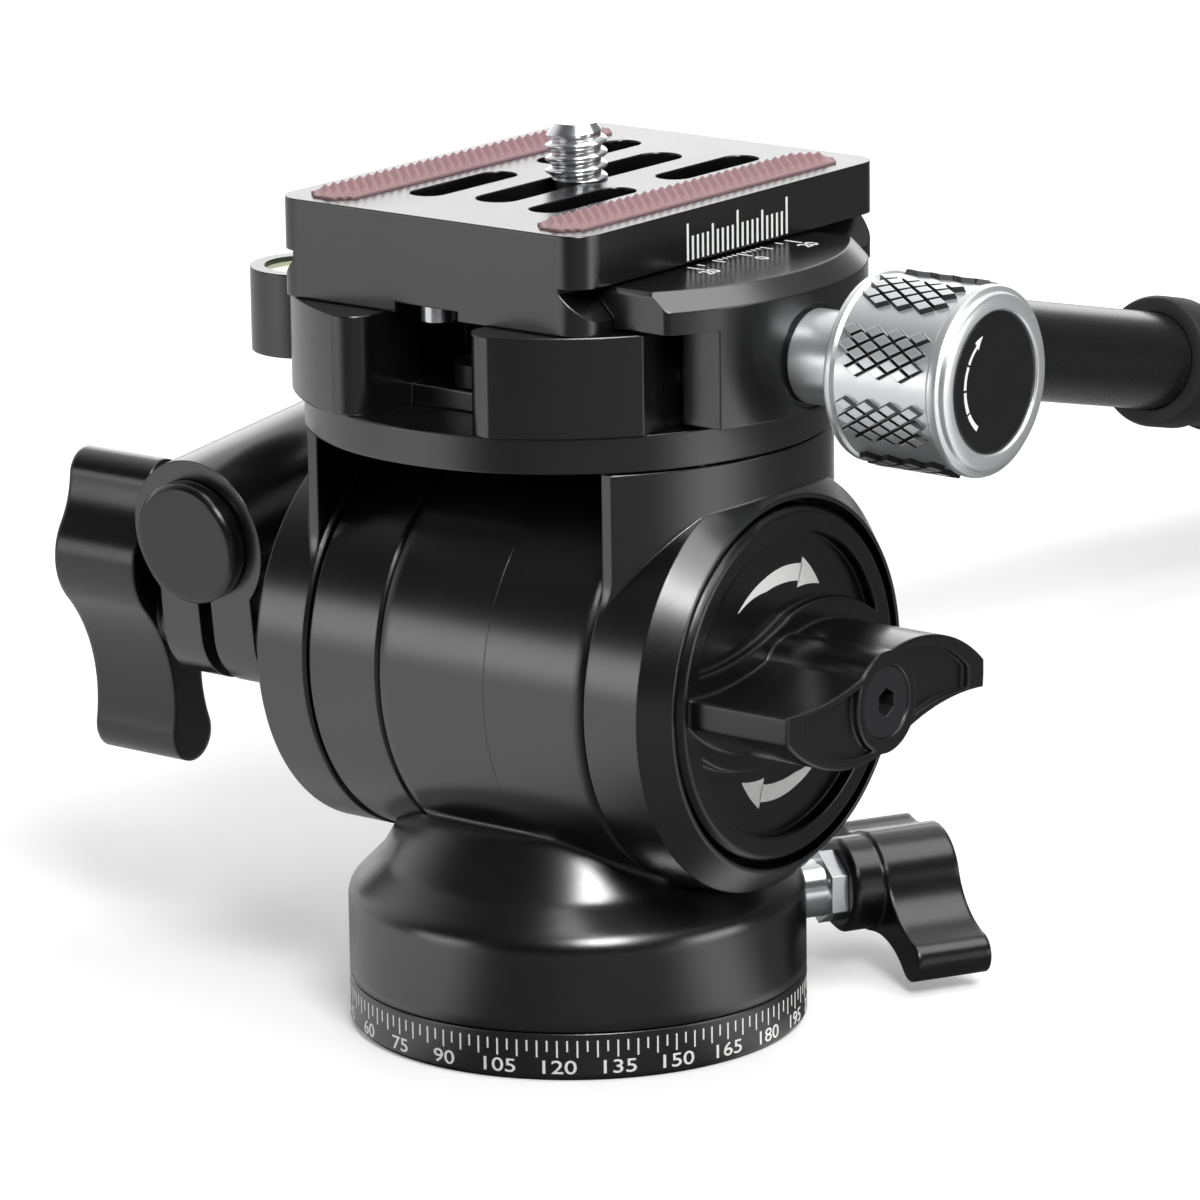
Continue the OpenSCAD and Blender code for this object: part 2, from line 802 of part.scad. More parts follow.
module pan_lock_stud() {
    color(steel) at_lock() {
        rod_x(shoe_out + face_gap, lock_stud_end, lock_stud_r);
        rotate([0, 90, 0]) translate([0, 0, lock_hex_in])
            cylinder(h = lock_hex_t - face_gap, r = lock_hex_r, $fn = 6);
    }
}

module pan_lock_wing() {
    color(black) at_lock() difference() {
        union() {
            rod_x(lock_collar_in + 0.5, lock_wing_in + past, lock_collar_r);
            cone_x(lock_collar_in, lock_collar_in + 0.5, lock_collar_r - 0.5, lock_collar_r);
            rotate([lock_turn + 180, 0, 0]) along_x(lock_wing_in, lock_wing_in + lock_wing_w)
                lever(lock_hub_r, lock_arm, lock_tail, lock_end_r, lock_flank, lock_tail_bend);
        }
        rod_x(0, lock_stud_end + face_gap, lock_stud_r + seat);
    }
}

// Yoke

// Side view of the fillets between a cheek's edge and its arm
module foot_profile() {
    rise = sqrt(pow(cheek_r + arm_fillet, 2) - pow(arm_half + arm_fillet, 2));
    for (side = [-1, 1]) difference() {
        polygon([
            [0, 0], [side * (arm_half + arm_fillet) * cheek_r / (cheek_r + arm_fillet),
                rise * cheek_r / (cheek_r + arm_fillet)],
            [side * (arm_half + arm_fillet) * cheek_r / (cheek_r + arm_fillet), rise],
            [side * arm_half, rise], [0, rise]
        ]);
        translate([side * (arm_half + arm_fillet), rise]) circle(arm_fillet);
    }
}

// Arm on the +X side: a slice of the platform's cylinder, flat at both ends
module arm() {
    intersection() {
        post(0, 0, tilt_z, arm_top, arm_r);
        union() {
            block(cheek_x + arm_inset, arm_r + past, -arm_half, arm_half, tilt_z, arm_top);
            at_tilt() along_x(cheek_x + arm_inset, arm_r + past) foot_profile();
        }
    }
}

module platform_screw_places() {
    for (sx = [-1, 1], sy = [-1, 1])
        translate([sx * platform_screw_x, sy * platform_screw_y, platform_top]) children();
}

module left_cheek() {
    color(black) difference() {
        union() {
            mirror([1, 0, 0]) at_tilt() {
                cone_x(cheek_x, cheek_x + seam_bevel, cheek_r - seam_bevel, cheek_r);
                rod_x(cheek_x + seam_bevel, left_x - left_bevel, cheek_r);
                cone_x(left_x - left_bevel, left_x, cheek_r, cheek_r - left_bevel);
            }
            intersection() {
                mirror([1, 0, 0]) arm();
                block(-left_x + left_bevel, 0, -arm_r, arm_r, 0, platform_top);
            }
        }
        at_tilt() rod_x(-axle_left - 0.2, 0, axle_end_r + seat);
        translate([0, pivot_y, pivot_z]) rod_x(-left_x - past, stud_in + 0.3, wing_stud_r + thread_gap);
        platform_screw_places()
            post(0, 0, -platform_t - platform_screw_l, 0, platform_screw_r + thread_gap);
    }
}

module right_cheek() {
    color(black) difference() {
        union() {
            at_tilt() {
                cone_x(cheek_x, cheek_x + seam_bevel, cheek_r - seam_bevel, cheek_r);
                rod_x(cheek_x + seam_bevel, right_x - cheek_bevel, cheek_r);
                cone_x(right_x - cheek_bevel, right_x, cheek_r, cheek_r - cheek_bevel + 0.2);
            }
            intersection() {
                arm();
                block(0, right_x - 0.4, -arm_r, arm_r, 0, platform_top);
            }
        }
        at_tilt() {
            rod_x(0, right_x, axle_r + seat);
            rod_x(cup_floor, base_r + right_x, cup_r);
        }
        platform_screw_places()
            post(0, 0, -platform_t - platform_screw_l, 0, platform_screw_r + thread_gap);
    }
}

module platform() {
    color(black) difference() {
        post(0, 0, platform_z, platform_top, platform_r);
        platform_screw_places() {
            post(0, 0, -platform_t - past, past, platform_screw_r + thread_gap);
            post(0, 0, -platform_head_t, past, platform_head_r + thread_gap);
        }
        mount_screw_places() post(0, 0, platform_z - past, platform_top + past, mount_screw_r + thread_gap);
    }
    color(black) for (side = [-1, 1]) intersection() {
        ring_z(arm_top, platform_z, cheek_x + arm_inset + 4, arm_r - 1.2);
        block(side > 0 ? cheek_x : -arm_r, side > 0 ? arm_r : -cheek_x,
            -platform_screw_y + 3, platform_screw_y - 3, 0, platform_top);
    }
}

module platform_screws() {
    color(steel) platform_screw_places() {
        post(0, 0, face_gap - platform_head_t, -0.2, platform_head_r);
        post(0, 0, -platform_t - platform_screw_l + 0.4, face_gap - platform_head_t + past / 2, platform_screw_r);
    }
}

module tilt_axle() {
    color(steel) at_tilt() difference() {
        union() {
            rod_x(-axle_left, -half_w + past, axle_end_r);
            rod_x(-cheek_x, cup_floor, axle_r);
            rod_x(cup_floor - past, axle_right, axle_end_r);
        }
        rod_x(knob_shank_in - 0.4, axle_right + past, knob_shank_r + run);
    }
}

module friction_washer() {
    color(nylon) at_tilt() ring_x(cup_floor + face_gap, cup_floor + face_gap + friction_t,
        axle_r + 1.2, cup_r - 2.5);
}

// Tilt knob

// Half of the knob's face on one side of its wing, inside the rim
module knob_pocket() {
    difference() {
        intersection() {
            circle(pocket_r);
            translate([-pocket_r, 0]) square([2 * pocket_r, pocket_r]);
        }
        translate([0, pocket_off]) wing(knob_wing_half);
        translate([-pocket_r - past, -past]) square([2 * (pocket_r + past), pocket_off + 2.2 * past]);
    }
}

// Shallow pocket in one arm of the wing's end face
module wing_pocket() {
    difference() {
        scale(0.84) wing_arm(knob_wing_half);
        circle(knob_screw_r + 1.4);
    }
}

module tilt_knob() {
    color(black) at_tilt() difference() {
        union() {
            rod_x(knob_x, knob_face - 0.6, knob_disc_r);
            cone_x(knob_face - 0.6, knob_face, knob_disc_r, knob_disc_r - 0.6);
            along_x(knob_face - pocket_d - past, knob_wing_x) wing(knob_wing_half);
            rod_x(knob_face - past, knob_wing_x, knob_screw_r + 1.6);
        }
        for (turn = [0, 180]) rotate([turn, 0, 0]) {
            along_x(knob_face - pocket_d, knob_face + past / 2) knob_pocket();
            along_x(knob_wing_x - wing_pocket_d, knob_wing_x + past) wing_pocket();
        }
        rod_x(knob_x - past, insert_x + insert_l, insert_r + seat);
        rod_x(insert_x, knob_wing_x, knob_shank_r + thread_gap);
        rod_x(knob_head_x - seat, knob_wing_x + past, knob_screw_r + thread_gap);
    }
}

module knob_insert() {
    color(brass) at_tilt() ring_x(insert_x, insert_x + insert_l, axle_end_r + run, insert_r);
}

module knob_screw() {
    hex_r = 1.5;
    color(dark) at_tilt() difference() {
        union() {
            rod_x(knob_head_x, knob_wing_x - 0.1, knob_screw_r);
            rod_x(knob_shank_in, knob_head_x + past, knob_shank_r);
        }
        translate([knob_wing_x - 1.8, 0, 0]) rotate([0, 90, 0]) cylinder(h = 2 * past + 1, r = hex_r, $fn = 6);
    }
}

// Quick-release clamp

module mount_screw_places() {
    for (side = [-1, 1]) translate([channel_x, side * mount_screw_y, 0]) children();
}

module guide_places() {
    for (side = [-1, 1]) translate([0, side * guide_y, guide_z]) children();
}

// Hooked edge of the fixed jaw, drawn in X and Z
module hook_profile() {
    edge = plate_left - jaw_slip;
    foot = plate_z + flange_h + jaw_slip;
    lean = hook_top - 0.4 - foot;
    polygon([
        [plate_left - fixed_reach - past, seat_z - past], [edge, seat_z - past], [edge, foot],
        [edge + lean, hook_top - 0.4], [edge + lean, hook_top],
        [plate_left - fixed_reach - past, hook_top]
    ]);
}

// Cutter, drawn in X and Y, for the upright corner where a flat wall meets a round side.
// The solid lies on the wall's side `into`, and the corner at the round side's end `end`.
module corner_cut(centre, side_r, wall, into, end, r) {
    graze = 0.05;
    x = wall + into * (r - graze);
    y = end * sqrt(pow(side_r - r + graze, 2) - pow(x - centre, 2));
    reach = (side_r + 1) / (side_r - r + graze);
    difference() {
        polygon([
            [wall - into * past, y], [x, y], [centre + (x - centre) * reach, y * reach],
            [wall - into * past, y * reach + end * r]
        ]);
        translate([x, y]) circle(r);
    }
}

module clamp_body() {
    color(black) difference() {
        union() {
            intersection() {
                post(clamp_x, 0, body_z, seat_z, clamp_r);
                block(-2 * clamp_r, body_right, -clamp_r, clamp_r, body_z, seat_z);
            }
            intersection() {
                along_y(-hook_half, hook_half) hook_profile();
                post(clamp_x, 0, body_z, hook_top, clamp_r - 0.3);
            }
            // Web that carries the level's cup
            block(level_x + level_r - 2, clamp_x - clamp_r + 2.5, -level_web / 2, level_web / 2,
                level_z + past, seat_z - 2.5);
        }
        // Channel on both sides of the bridge
        for (side = [-1, 1])
            block(channel_x - channel_w / 2, channel_x + channel_w / 2,
                side > 0 ? bridge_half : -2 * clamp_r, side > 0 ? 2 * clamp_r : -bridge_half,
                floor_z, seat_z + past);
        // Open mouths of the channel, without a floor and with rounded corners
        for (end = [-1, 1]) {
            block(channel_x - channel_w / 2, channel_x + channel_w / 2,
                end > 0 ? floor_half : -2 * clamp_r, end > 0 ? 2 * clamp_r : -floor_half,
                body_z - past, floor_z + past);
            for (side = [-1, 1])
                translate([0, 0, body_z - past]) linear_extrude(clamp_h + 2 * past)
                    corner_cut(clamp_x, clamp_r, channel_x + side * channel_w / 2, side, end, mouth_r);
        }
        mount_screw_places() post(0, 0, body_z - past, floor_z + past, mount_screw_r + thread_gap);
        translate([0, 0, screw_z]) rod_x(clamp_screw_in, body_right + past, clamp_screw_r + thread_gap);
        guide_places() {
            rod_x(guide_in, body_right + past, guide_r + seat);
            rod_x(body_right - spring_l, body_right + past, spring_r + 0.2);
        }
        post(level_x, 0, level_z - past, seat_z, level_r + seat);
    }
}

module clamp_mount_screws() {
    color(dark) mount_screw_places() {
        post(0, 0, floor_z + face_gap, floor_z + mount_head_t, mount_head_r);
        post(0, 0, floor_z - mount_screw_l, floor_z + past, mount_screw_r);
    }
}

module guide_pins() {
    color(steel) guide_places() rod_x(guide_in + 0.2, guide_out - 0.4, guide_r);
}

module jaw_springs() {
    color(steel) guide_places()
        ring_x(body_right - spring_l + 0.1, body_right + jaw_gap - 0.3, spring_r - spring_wall, spring_r);
}

module level_cup() {
    color(black) translate([level_x, 0, 0]) difference() {
        post(0, 0, level_z, level_z + level_h, level_r);
        post(0, 0, level_z + level_wall, level_z + level_h + past, level_r - level_wall);
    }
}

module level_vial() {
    color([0.75, 0.85, 0.45]) translate([level_x, 0, 0])
        post(0, 0, level_z + level_wall + face_gap, level_z + level_h - 0.5, level_r - level_wall - seat);
}

// Movable jaw

// Cross-section of the lip that hooks over the plate's edge
module lip_profile() {
    edge = plate_right + jaw_slip;
    foot = plate_z + flange_h + jaw_slip;
    lean = jaw_top - 0.4 - foot;
    polygon([
        [edge, lip_z], [edge, foot], [edge - lean, jaw_top - 0.4], [edge - lean, jaw_top],
        [jaw_face + past, jaw_top], [jaw_face + past, lip_z]
    ]);
}

// Side view of the lip, bevelled at both ends
module lip_side() {
    run_out = lip_end_bevel + past;
    polygon([
        [-jaw_lip_half, lip_z - past], [jaw_lip_half, lip_z - past],
        [jaw_lip_half, jaw_top - lip_end_bevel], [jaw_lip_half - run_out, jaw_top + past],
        [run_out - jaw_lip_half, jaw_top + past], [-jaw_lip_half, jaw_top - lip_end_bevel]
    ]);
}

module movable_jaw() {
    color(black) difference() {
        union() {
            intersection() {
                along_y(-jaw_lip_half - past, jaw_lip_half + past) lip_profile();
                along_x(0, jaw_face + past) lip_side();
                union() {
                    post(jaw_x, 0, lip_z, jaw_top - jaw_bevel, jaw_r);
                    translate([jaw_x, 0, jaw_top - jaw_bevel])
                        cylinder(h = jaw_bevel, r1 = jaw_r, r2 = jaw_r - jaw_bevel);
                }
            }
            intersection() {
                post(jaw_x, 0, jaw_z, lip_z + past, jaw_r);
                block(jaw_in, jaw_face, -jaw_block_half, jaw_block_half, jaw_z, lip_z + past);
            }
        }
        translate([0, 0, screw_z]) {
            rod_x(jaw_in - past, jaw_face + past, clamp_screw_r + thread_gap);
            rod_x(spot_face, jaw_face + past, spot_r);
        }
        guide_places() rod_x(jaw_in - past, guide_out, guide_r + thread_gap);
        for (end = [-1, 1])
            translate([jaw_x, 0, lip_z - past]) rotate([0, 0, 90]) linear_extrude(jaw_top - lip_z + 2 * past)
                corner_cut(0, jaw_r, end * jaw_lip_half, -end, -1, lip_end_r);
    }
}

module clamp_knob() {
    color(silver) translate([0, 0, screw_z]) difference() {
        union() {
            rod_x(collar_x, knob_in + past, collar_r);
            cone_x(knob_in, knob_in + knob_rim, knob_r - knob_rim, knob_r);
            difference() {
                rod_x(knob_in + knob_rim, knob_out - knob_rim, knob_r);
                for (i = [0:flutes - 1]) rotate([360 * i / flutes, 0, 0])
                    translate([0, 0, knob_r + flute_r - flute_depth])
                        rod_x(knob_in - past, knob_out + past, flute_r);
            }
            cone_x(knob_out - knob_rim, knob_out, knob_r - flute_depth, knob_r - knob_rim);
        }
        rod_x(collar_x - past, knob_in + knob_l / 2, clamp_screw_r + seat);
        rod_x(knob_out - cap_inset, knob_out + past, cap_r + seat);
    }
}

module knob_cap() {
    color(black) translate([0, 0, screw_z]) rod_x(knob_out - cap_inset + seat, knob_out - 0.2, cap_r);
}

module clamp_screw() {
    color(steel) translate([0, 0, screw_z]) rod_x(clamp_screw_in + 3.2, knob_in + knob_l / 2 - 0.2, clamp_screw_r);
}

// Pan bar

// Side view of the split clamp: the round lug below carries the length of the sleeve above
module clamp_side() {
    lean = lug_r * 0.5;
    circle(lug_r);
    polygon([
        [sleeve_front, 0], [lug_r, 0], [lug_r + lean, bar_rise - sleeve_r * 0.6],
        [sleeve_back, bar_rise], [sleeve_back, bar_rise + sleeve_r], [sleeve_front, bar_rise + sleeve_r]
    ]);
}

// Front view of the split clamp, drawn in X and Z
module clamp_front() {
    translate([bar_x, bar_rise]) circle(sleeve_r);
    polygon([
        [lug_left, -lug_r], [lug_left, bar_rise - sleeve_r / 2], [bar_x - sleeve_r * 0.9, bar_rise - sleeve_r * 0.2],
        [bar_x + sleeve_r * 0.9, bar_rise - sleeve_r * 0.2], [lug_right, bar_rise - sleeve_r / 2],
        [lug_right, -lug_r]
    ]);
}

module bar_clamp() {
    color(black) at_pivot() difference() {
        union() {
            intersection() {
                along_x(lug_left - sleeve_r, lug_right + sleeve_r) clamp_side();
                along_y(sleeve_front, sleeve_back) clamp_front();
            }
            rod_x(lug_right - past, clamp_face, lug_r - 0.3);
        }
        translate([bar_x, 0, bar_rise]) rod_y(sleeve_front - past, sleeve_back + past, bar_r + run);
        block(bar_x - slit_w / 2, bar_x + slit_w / 2, sleeve_front - past, sleeve_back + past,
            -lug_r - past, bar_rise);
        rod_x(lug_left - sleeve_r, clamp_face + past, wing_stud_r + thread_gap);
    }
}

module clamp_washer() {
    color(nylon) translate([0, pivot_y, pivot_z])
        ring_x(clamp_face + washer_gap, clamp_face + washer_gap + clamp_washer_t,
            wing_stud_r + thread_gap, lug_r - 0.3);
}

module bar_wing() {
    color(black) translate([0, pivot_y, pivot_z]) difference() {
        union() {
            rod_x(bar_wing_x - past, lug_left - washer_gap, bar_collar_r);
            along_x(bar_wing_x - bar_wing_w, bar_wing_x) translate([bar_hub_y, bar_hub_up])
                rotate(bar_lever_turn) lever(bar_hub_r, bar_arm, bar_tail, bar_end_r, bar_flank, bar_tail_bend);
        }
        rod_x(stud_out - 0.2, lug_left, wing_stud_r + seat);
    }
}

module wing_stud() {
    color(steel) translate([0, pivot_y, pivot_z]) rod_x(stud_out, stud_in, wing_stud_r);
}

// Bent rod of radius r along the bar's centre line, from y0 on the root to y1 past the bend
module bent_rod(r, y0, y1) {
    at_bar() {
        rod_y(y0, bar_root_l - bend_run, r);
        translate([0, bar_root_l - bend_run, -bend_r]) rotate([0, -90, 0])
            rotate_extrude(angle = bar_bend) translate([bend_r, 0]) circle(r - bend_draw);
    }
    past_bend() rod_y(bend_run, y1, r);
}

module pan_bar() {
    bar_end = bar_reach_l + grip_l - grip_cap_t;
    color(dark) difference() {
        bent_rod(bar_r, bar_front, bar_end);
        bent_rod(bar_r - bar_wall, bar_front - past, bar_end + past);
    }
}

module bar_end_cap() {
    bevel = 0.5;
    color(black) at_bar() {
        translate([0, bar_front - end_cap_t, 0]) rotate([-90, 0, 0])
            cylinder(h = bevel, r1 = end_cap_r - bevel, r2 = end_cap_r);
        rod_y(bar_front - end_cap_t + bevel, bar_front - face_gap, end_cap_r);
        rod_y(bar_front - end_cap_t + bevel, bar_front + end_plug_l, bar_r - bar_wall - seat);
    }
}

module bar_grip() {
    lip = 1.2;
    color(dark) past_bend() difference() {
        union() {
            rod_y(bar_reach_l + lip, bar_reach_l + grip_l, grip_r);
            translate([0, bar_reach_l, 0]) rotate([-90, 0, 0]) cylinder(h = lip, r1 = grip_r - lip, r2 = grip_r);
        }
        rod_y(bar_reach_l - past, bar_reach_l + grip_l + past, bar_r + seat);
    }
}

module grip_end_cap() {
    grip_end = bar_reach_l + grip_l;
    round_r = 2.2;
    color(black) past_bend() {
        rod_y(grip_end + face_gap, grip_end + grip_cap_t - round_r, grip_r - 0.2);
        translate([0, grip_end + grip_cap_t - round_r, 0]) rotate([-90, 0, 0])
            cylinder(h = round_r, r1 = grip_r - 0.2, r2 = grip_r - 0.2 - round_r);
        rod_y(grip_end - grip_cap_t + grip_over, grip_end + past / 2, bar_r - seat);
        rod_y(grip_end - grip_cap_t - end_plug_l, grip_end, bar_r - bar_wall - seat);
    }
}

// Camera plate

// Cross-section of the plate: full width at the foot and at the top, dovetail between
module plate_profile() {
    half = plate_w / 2;
    polygon([
        [-half, 0], [half, 0], [half, flange_h], [half - dovetail, neck_h], [half - dovetail, band_h],
        [half, band_h], [half, plate_t], [-half, plate_t], [-half, band_h], [-half + dovetail, band_h],
        [-half + dovetail, neck_h], [-half, flange_h]
    ]);
}

module slot(w, l) {
    square([w, l - w], center = true);
    for (side = [-1, 1]) translate([0, side * (l - w) / 2]) circle(w / 2);
}

module at_plate() {
    translate([plate_x, plate_y, plate_z]) children();
}

module stop_places() {
    for (side = [-1, 1]) translate([0, side * (plate_l / 2 - stop_in - stop_r / 2), 0]) children();
}

module strip_places() {
    for (side = [-1, 1]) translate([side * strip_x, -0.7, plate_t]) children();
}

module camera_plate() {
    top_bevel = 0.5;
    color(black) at_plate() difference() {
        intersection() {
            along_y(-plate_l / 2, plate_l / 2) plate_profile();
            linear_extrude(plate_t) rounded(plate_w, plate_l, plate_corner);
        }
        translate([0, 0, -past]) linear_extrude(plate_t + 2 * past) {
            for (sx = [-1, 1], sy = [-1, 1]) translate([sx * slot_pitch, sy * slot_y + slot_shift])
                slot(slot_w, slot_l);
            slot(middle_slot_w, screw_slot_l);
        }
        block(-groove_w / 2, groove_w / 2, -plate_l, plate_l, -past, groove_d);
        block(-head_pocket_w / 2, head_pocket_w / 2, -head_pocket_l / 2, head_pocket_l / 2, -past, head_pocket_d);
        stop_places() post(0, 0, groove_d - past, groove_d + stop_deep + 0.3, stop_r * 0.6 + seat);
        strip_places() translate([0, 0, -strip_sink]) linear_extrude(strip_sink + past)
            slot(strip_w + 0.1, strip_l + 0.1);
    }
}

module grip_strips() {
    color(rubber) at_plate() strip_places() translate([0, 0, -strip_sink + seat])
        linear_extrude(strip_sink + strip_h) slot(strip_w, strip_l);
}

module stop_screws() {
    color(steel) at_plate() stop_places() {
        post(0, 0, -stop_out, groove_d - face_gap, stop_r);
        post(0, 0, groove_d - past, groove_d + stop_deep, stop_r * 0.6);
    }
}

module at_camera_screw() {
    translate([plate_x, screw_y, plate_z + head_pocket_d]) children();
}

module screw_washer() {
    color(nylon) at_camera_screw() ring_z(-washer_t - face_gap, -face_gap, screw_neck_r + run, head_r - 0.4);
}

module camera_screw() {
    coin_w = 1.2;
    coin_d = 1;
    head_top = -washer_t - 2 * face_gap;
    top = plate_t - head_pocket_d;
    lead = 0.8;
    color(steel) at_camera_screw() difference() {
        union() {
            post(0, 0, head_top - head_t, head_top, head_r);
            post(0, 0, head_top - past, top + 0.4, screw_neck_r);
            post(0, 0, top + 0.3, top + camera_screw_h - lead, camera_screw_r);
            translate([0, 0, top + camera_screw_h - lead])
                cylinder(h = lead, r1 = camera_screw_r, r2 = camera_screw_r - lead);
        }
        block(-coin_w / 2, coin_w / 2, -head_r - past, head_r + past, head_top - head_t - past, head_top - head_t + coin_d);
    }
}

base_plate();
base_screws();
pan_spindle();
pan_nut();
wave_washer();
pan_housing();
slip_washer();
pan_bush();
brake_shoe();
barrel_cap();
cap_screws();
tilt_bushes();
axle_seals();
damper_stator();
pan_lock_stud();
pan_lock_wing();
left_cheek();
right_cheek();
platform();
platform_screws();
tilt_axle();
damper_rotor();
friction_washer();
clamp_body();
clamp_mount_screws();
guide_pins();
jaw_springs();
level_cup();
level_vial();
tilt_knob();
knob_insert();
knob_screw();
movable_jaw();
clamp_knob();
knob_cap();
clamp_screw();
bar_clamp();
clamp_washer();
bar_wing();
wing_stud();
pan_bar();
bar_end_cap();
bar_grip();
grip_end_cap();
camera_plate();
grip_strips();
stop_screws();
screw_washer();
camera_screw();
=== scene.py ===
import math

import bmesh
import bpy
from mathutils import Matrix, Vector


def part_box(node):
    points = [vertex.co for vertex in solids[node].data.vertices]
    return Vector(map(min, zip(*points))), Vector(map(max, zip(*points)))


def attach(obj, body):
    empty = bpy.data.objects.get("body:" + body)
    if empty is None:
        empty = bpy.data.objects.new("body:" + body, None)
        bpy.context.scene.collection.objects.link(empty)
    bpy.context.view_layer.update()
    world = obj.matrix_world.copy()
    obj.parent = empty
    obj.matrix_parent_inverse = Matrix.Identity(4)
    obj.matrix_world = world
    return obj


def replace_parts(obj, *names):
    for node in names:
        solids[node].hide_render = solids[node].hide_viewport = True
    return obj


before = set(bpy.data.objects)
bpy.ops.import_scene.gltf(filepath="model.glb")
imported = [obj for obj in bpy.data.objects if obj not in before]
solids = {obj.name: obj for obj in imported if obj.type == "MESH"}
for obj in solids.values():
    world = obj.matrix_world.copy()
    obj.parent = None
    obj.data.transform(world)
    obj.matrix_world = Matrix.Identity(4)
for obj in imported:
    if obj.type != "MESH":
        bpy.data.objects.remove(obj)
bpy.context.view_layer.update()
MM = 0.001

# Base plate: the turned aluminium ring that screws onto the tripod, anodised satin black. A pan
# scale is engraved round its edge and filled with white paint, with a tick every 2.5 degrees and
# a number every 15.


class Flow:
    """One socket in a finish, so that shading is written as arithmetic."""

    def __init__(self, tree, socket=None):
        self.tree = tree
        self.socket = socket

    def add(self, kind, settings=None, inputs=None, output=0):
        made = self.tree.nodes.new("ShaderNode" + kind)
        for name, value in (settings or {}).items():
            setattr(made, name, value)
        for key, value in (inputs or {}).items():
            if isinstance(value, Flow):
                self.tree.links.new(value.socket, made.inputs[key])
            else:
                made.inputs[key].default_value = value
        return Flow(self.tree, made.outputs[output])

    def math(self, operation, first, second=0.0):
        return self.add("Math", {"operation": operation}, {0: first, 1: second})

    def __add__(self, other):
        return self.math("ADD", self, other)

    def __radd__(self, other):
        return self.math("ADD", other, self)

    def __sub__(self, other):
        return self.math("SUBTRACT", self, other)

    def __rsub__(self, other):
        return self.math("SUBTRACT", other, self)

    def __mul__(self, other):
        return self.math("MULTIPLY", self, other)

    def __rmul__(self, other):
        return self.math("MULTIPLY", other, self)

    def into(self, shader, name):
        self.tree.links.new(self.socket, shader.inputs[name])


def agreement(flow, first, second):
    """How far two directions agree, from -1 to 1."""
    return flow.add("VectorMath", {"operation": "DOT_PRODUCT"}, {0: first, 1: second}, output="Value")


def blended(flow, share, first, second):
    """A colour between two others, whose sockets on a Mix node go by number."""
    colours = {0: share, 6: (*first, 1), 7: (*second, 1)}
    return flow.add("Mix", {"data_type": "RGBA"}, colours, output=2)


def finish(name, colour, worn_and_glint, roughness, metallic=0.0, ior=1.5, edge=0.3, grain=2400, bite=0.003):
    """A skin with fine grain, uneven gloss, and rounded edges painted a little brighter, partly as rubbed
    wear and partly as a painted highlight.
    """
    patches = 90.0
    detail = 3.0
    rub_and_glint_gain = 5.0
    unevenness = 0.06
    grain_strength = 0.6
    material = bpy.data.materials.new(name)
    material.use_nodes = True
    tree = material.node_tree
    shader = tree.nodes["Principled BSDF"]
    shader.inputs["Metallic"].default_value = metallic
    shader.inputs["IOR"].default_value = ior
    flow = Flow(tree)
    place = flow.add("TexCoord", output="Object")
    fine = flow.add("TexNoise", inputs={"Vector": place, "Scale": grain, "Detail": detail})
    broad = flow.add("TexNoise", inputs={"Vector": place, "Scale": patches, "Detail": detail})
    rounded = flow.add("Bevel", {"samples": 8}, {"Radius": edge * MM})
    flat = flow.add("NewGeometry", output="Normal")
    # Edges are painted lighter: partly rubbed wear, partly a painted highlight where the chamfers would
    # catch light.
    rub_and_glint_mask = flow.add("Clamp", inputs={0: (1 - agreement(flow, rounded, flat)) * rub_and_glint_gain * broad})
    blended(flow, rub_and_glint_mask, colour, worn_and_glint).into(shader, "Base Color")
    (roughness + unevenness * (broad - 0.5) + unevenness * (fine - 0.5)).into(shader, "Roughness")
    grained = {"Strength": grain_strength, "Distance": bite * MM, "Height": fine, "Normal": rounded}
    flow.add("Bump", inputs=grained).into(shader, "Normal")
    return material


def paint(material, *names):
    """Gives carried-over solids a finish in place of the plain one that they came with."""
    for name in names:
        mesh = solids[name].data
        mesh.materials.clear()
        mesh.materials.append(material)


def placed(name, data):
    """Puts new data into the scene as an object."""
    obj = bpy.data.objects.new(name, data)
    bpy.context.scene.collection.objects.link(obj)
    return obj


def piece(name, bm, material, body):
    """Turns a finished bmesh into a piece that rides on a body."""
    sharp_from = math.radians(30)
    mesh = bpy.data.meshes.new(name)
    bmesh.ops.recalc_face_normals(bm, faces=bm.faces)
    for face in bm.faces:
        face.smooth = True
    bm.to_mesh(mesh)
    bm.free()
    mesh.set_sharp_from_angle(angle=sharp_from)
    mesh.materials.append(material)
    obj = placed(name, mesh)
    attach(obj, body)
    return obj


def brick(bm, centre, size, turn=Matrix.Identity(4)):
    """Adds a small block of the given size, turned after it is placed."""
    matrix = turn @ Matrix.Translation(centre) @ Matrix.Diagonal((*size, 1))
    bmesh.ops.create_cube(bm, size=1.0, matrix=matrix)


print_t = 0.04 * MM


def figures(bm, words, height, place):
    """Adds printed figures; place takes a point of the flat writing to where it lies."""
    size_per_height = 1.38
    stroke_growth = 0.008
    curve = bpy.data.curves.new("figures", "FONT")
    curve.body = words
    curve.align_x = "CENTER"
    curve.size = height * size_per_height
    curve.offset = height * stroke_growth
    curve.extrude = print_t / 2
    holder = bpy.data.objects.new("figures", curve)
    mesh = bpy.data.meshes.new_from_object(holder)
    for vert in mesh.vertices:
        vert.co = place(vert.co)
    bm.from_mesh(mesh)
    bpy.data.objects.remove(holder)
    bpy.data.curves.remove(curve)
    bpy.data.meshes.remove(mesh)


black_coat = {
    "colour": (0.003, 0.003, 0.0034), "worn_and_glint": (0.025, 0.025, 0.027), "roughness": 0.25, "ior": 1.85,
}
satin_black = finish("satin_black", **black_coat)
white_paint = finish("white_paint", (0.86, 0.86, 0.85), (0.88, 0.88, 0.87), 0.6, edge=0.02)
paint(satin_black, "base_plate")

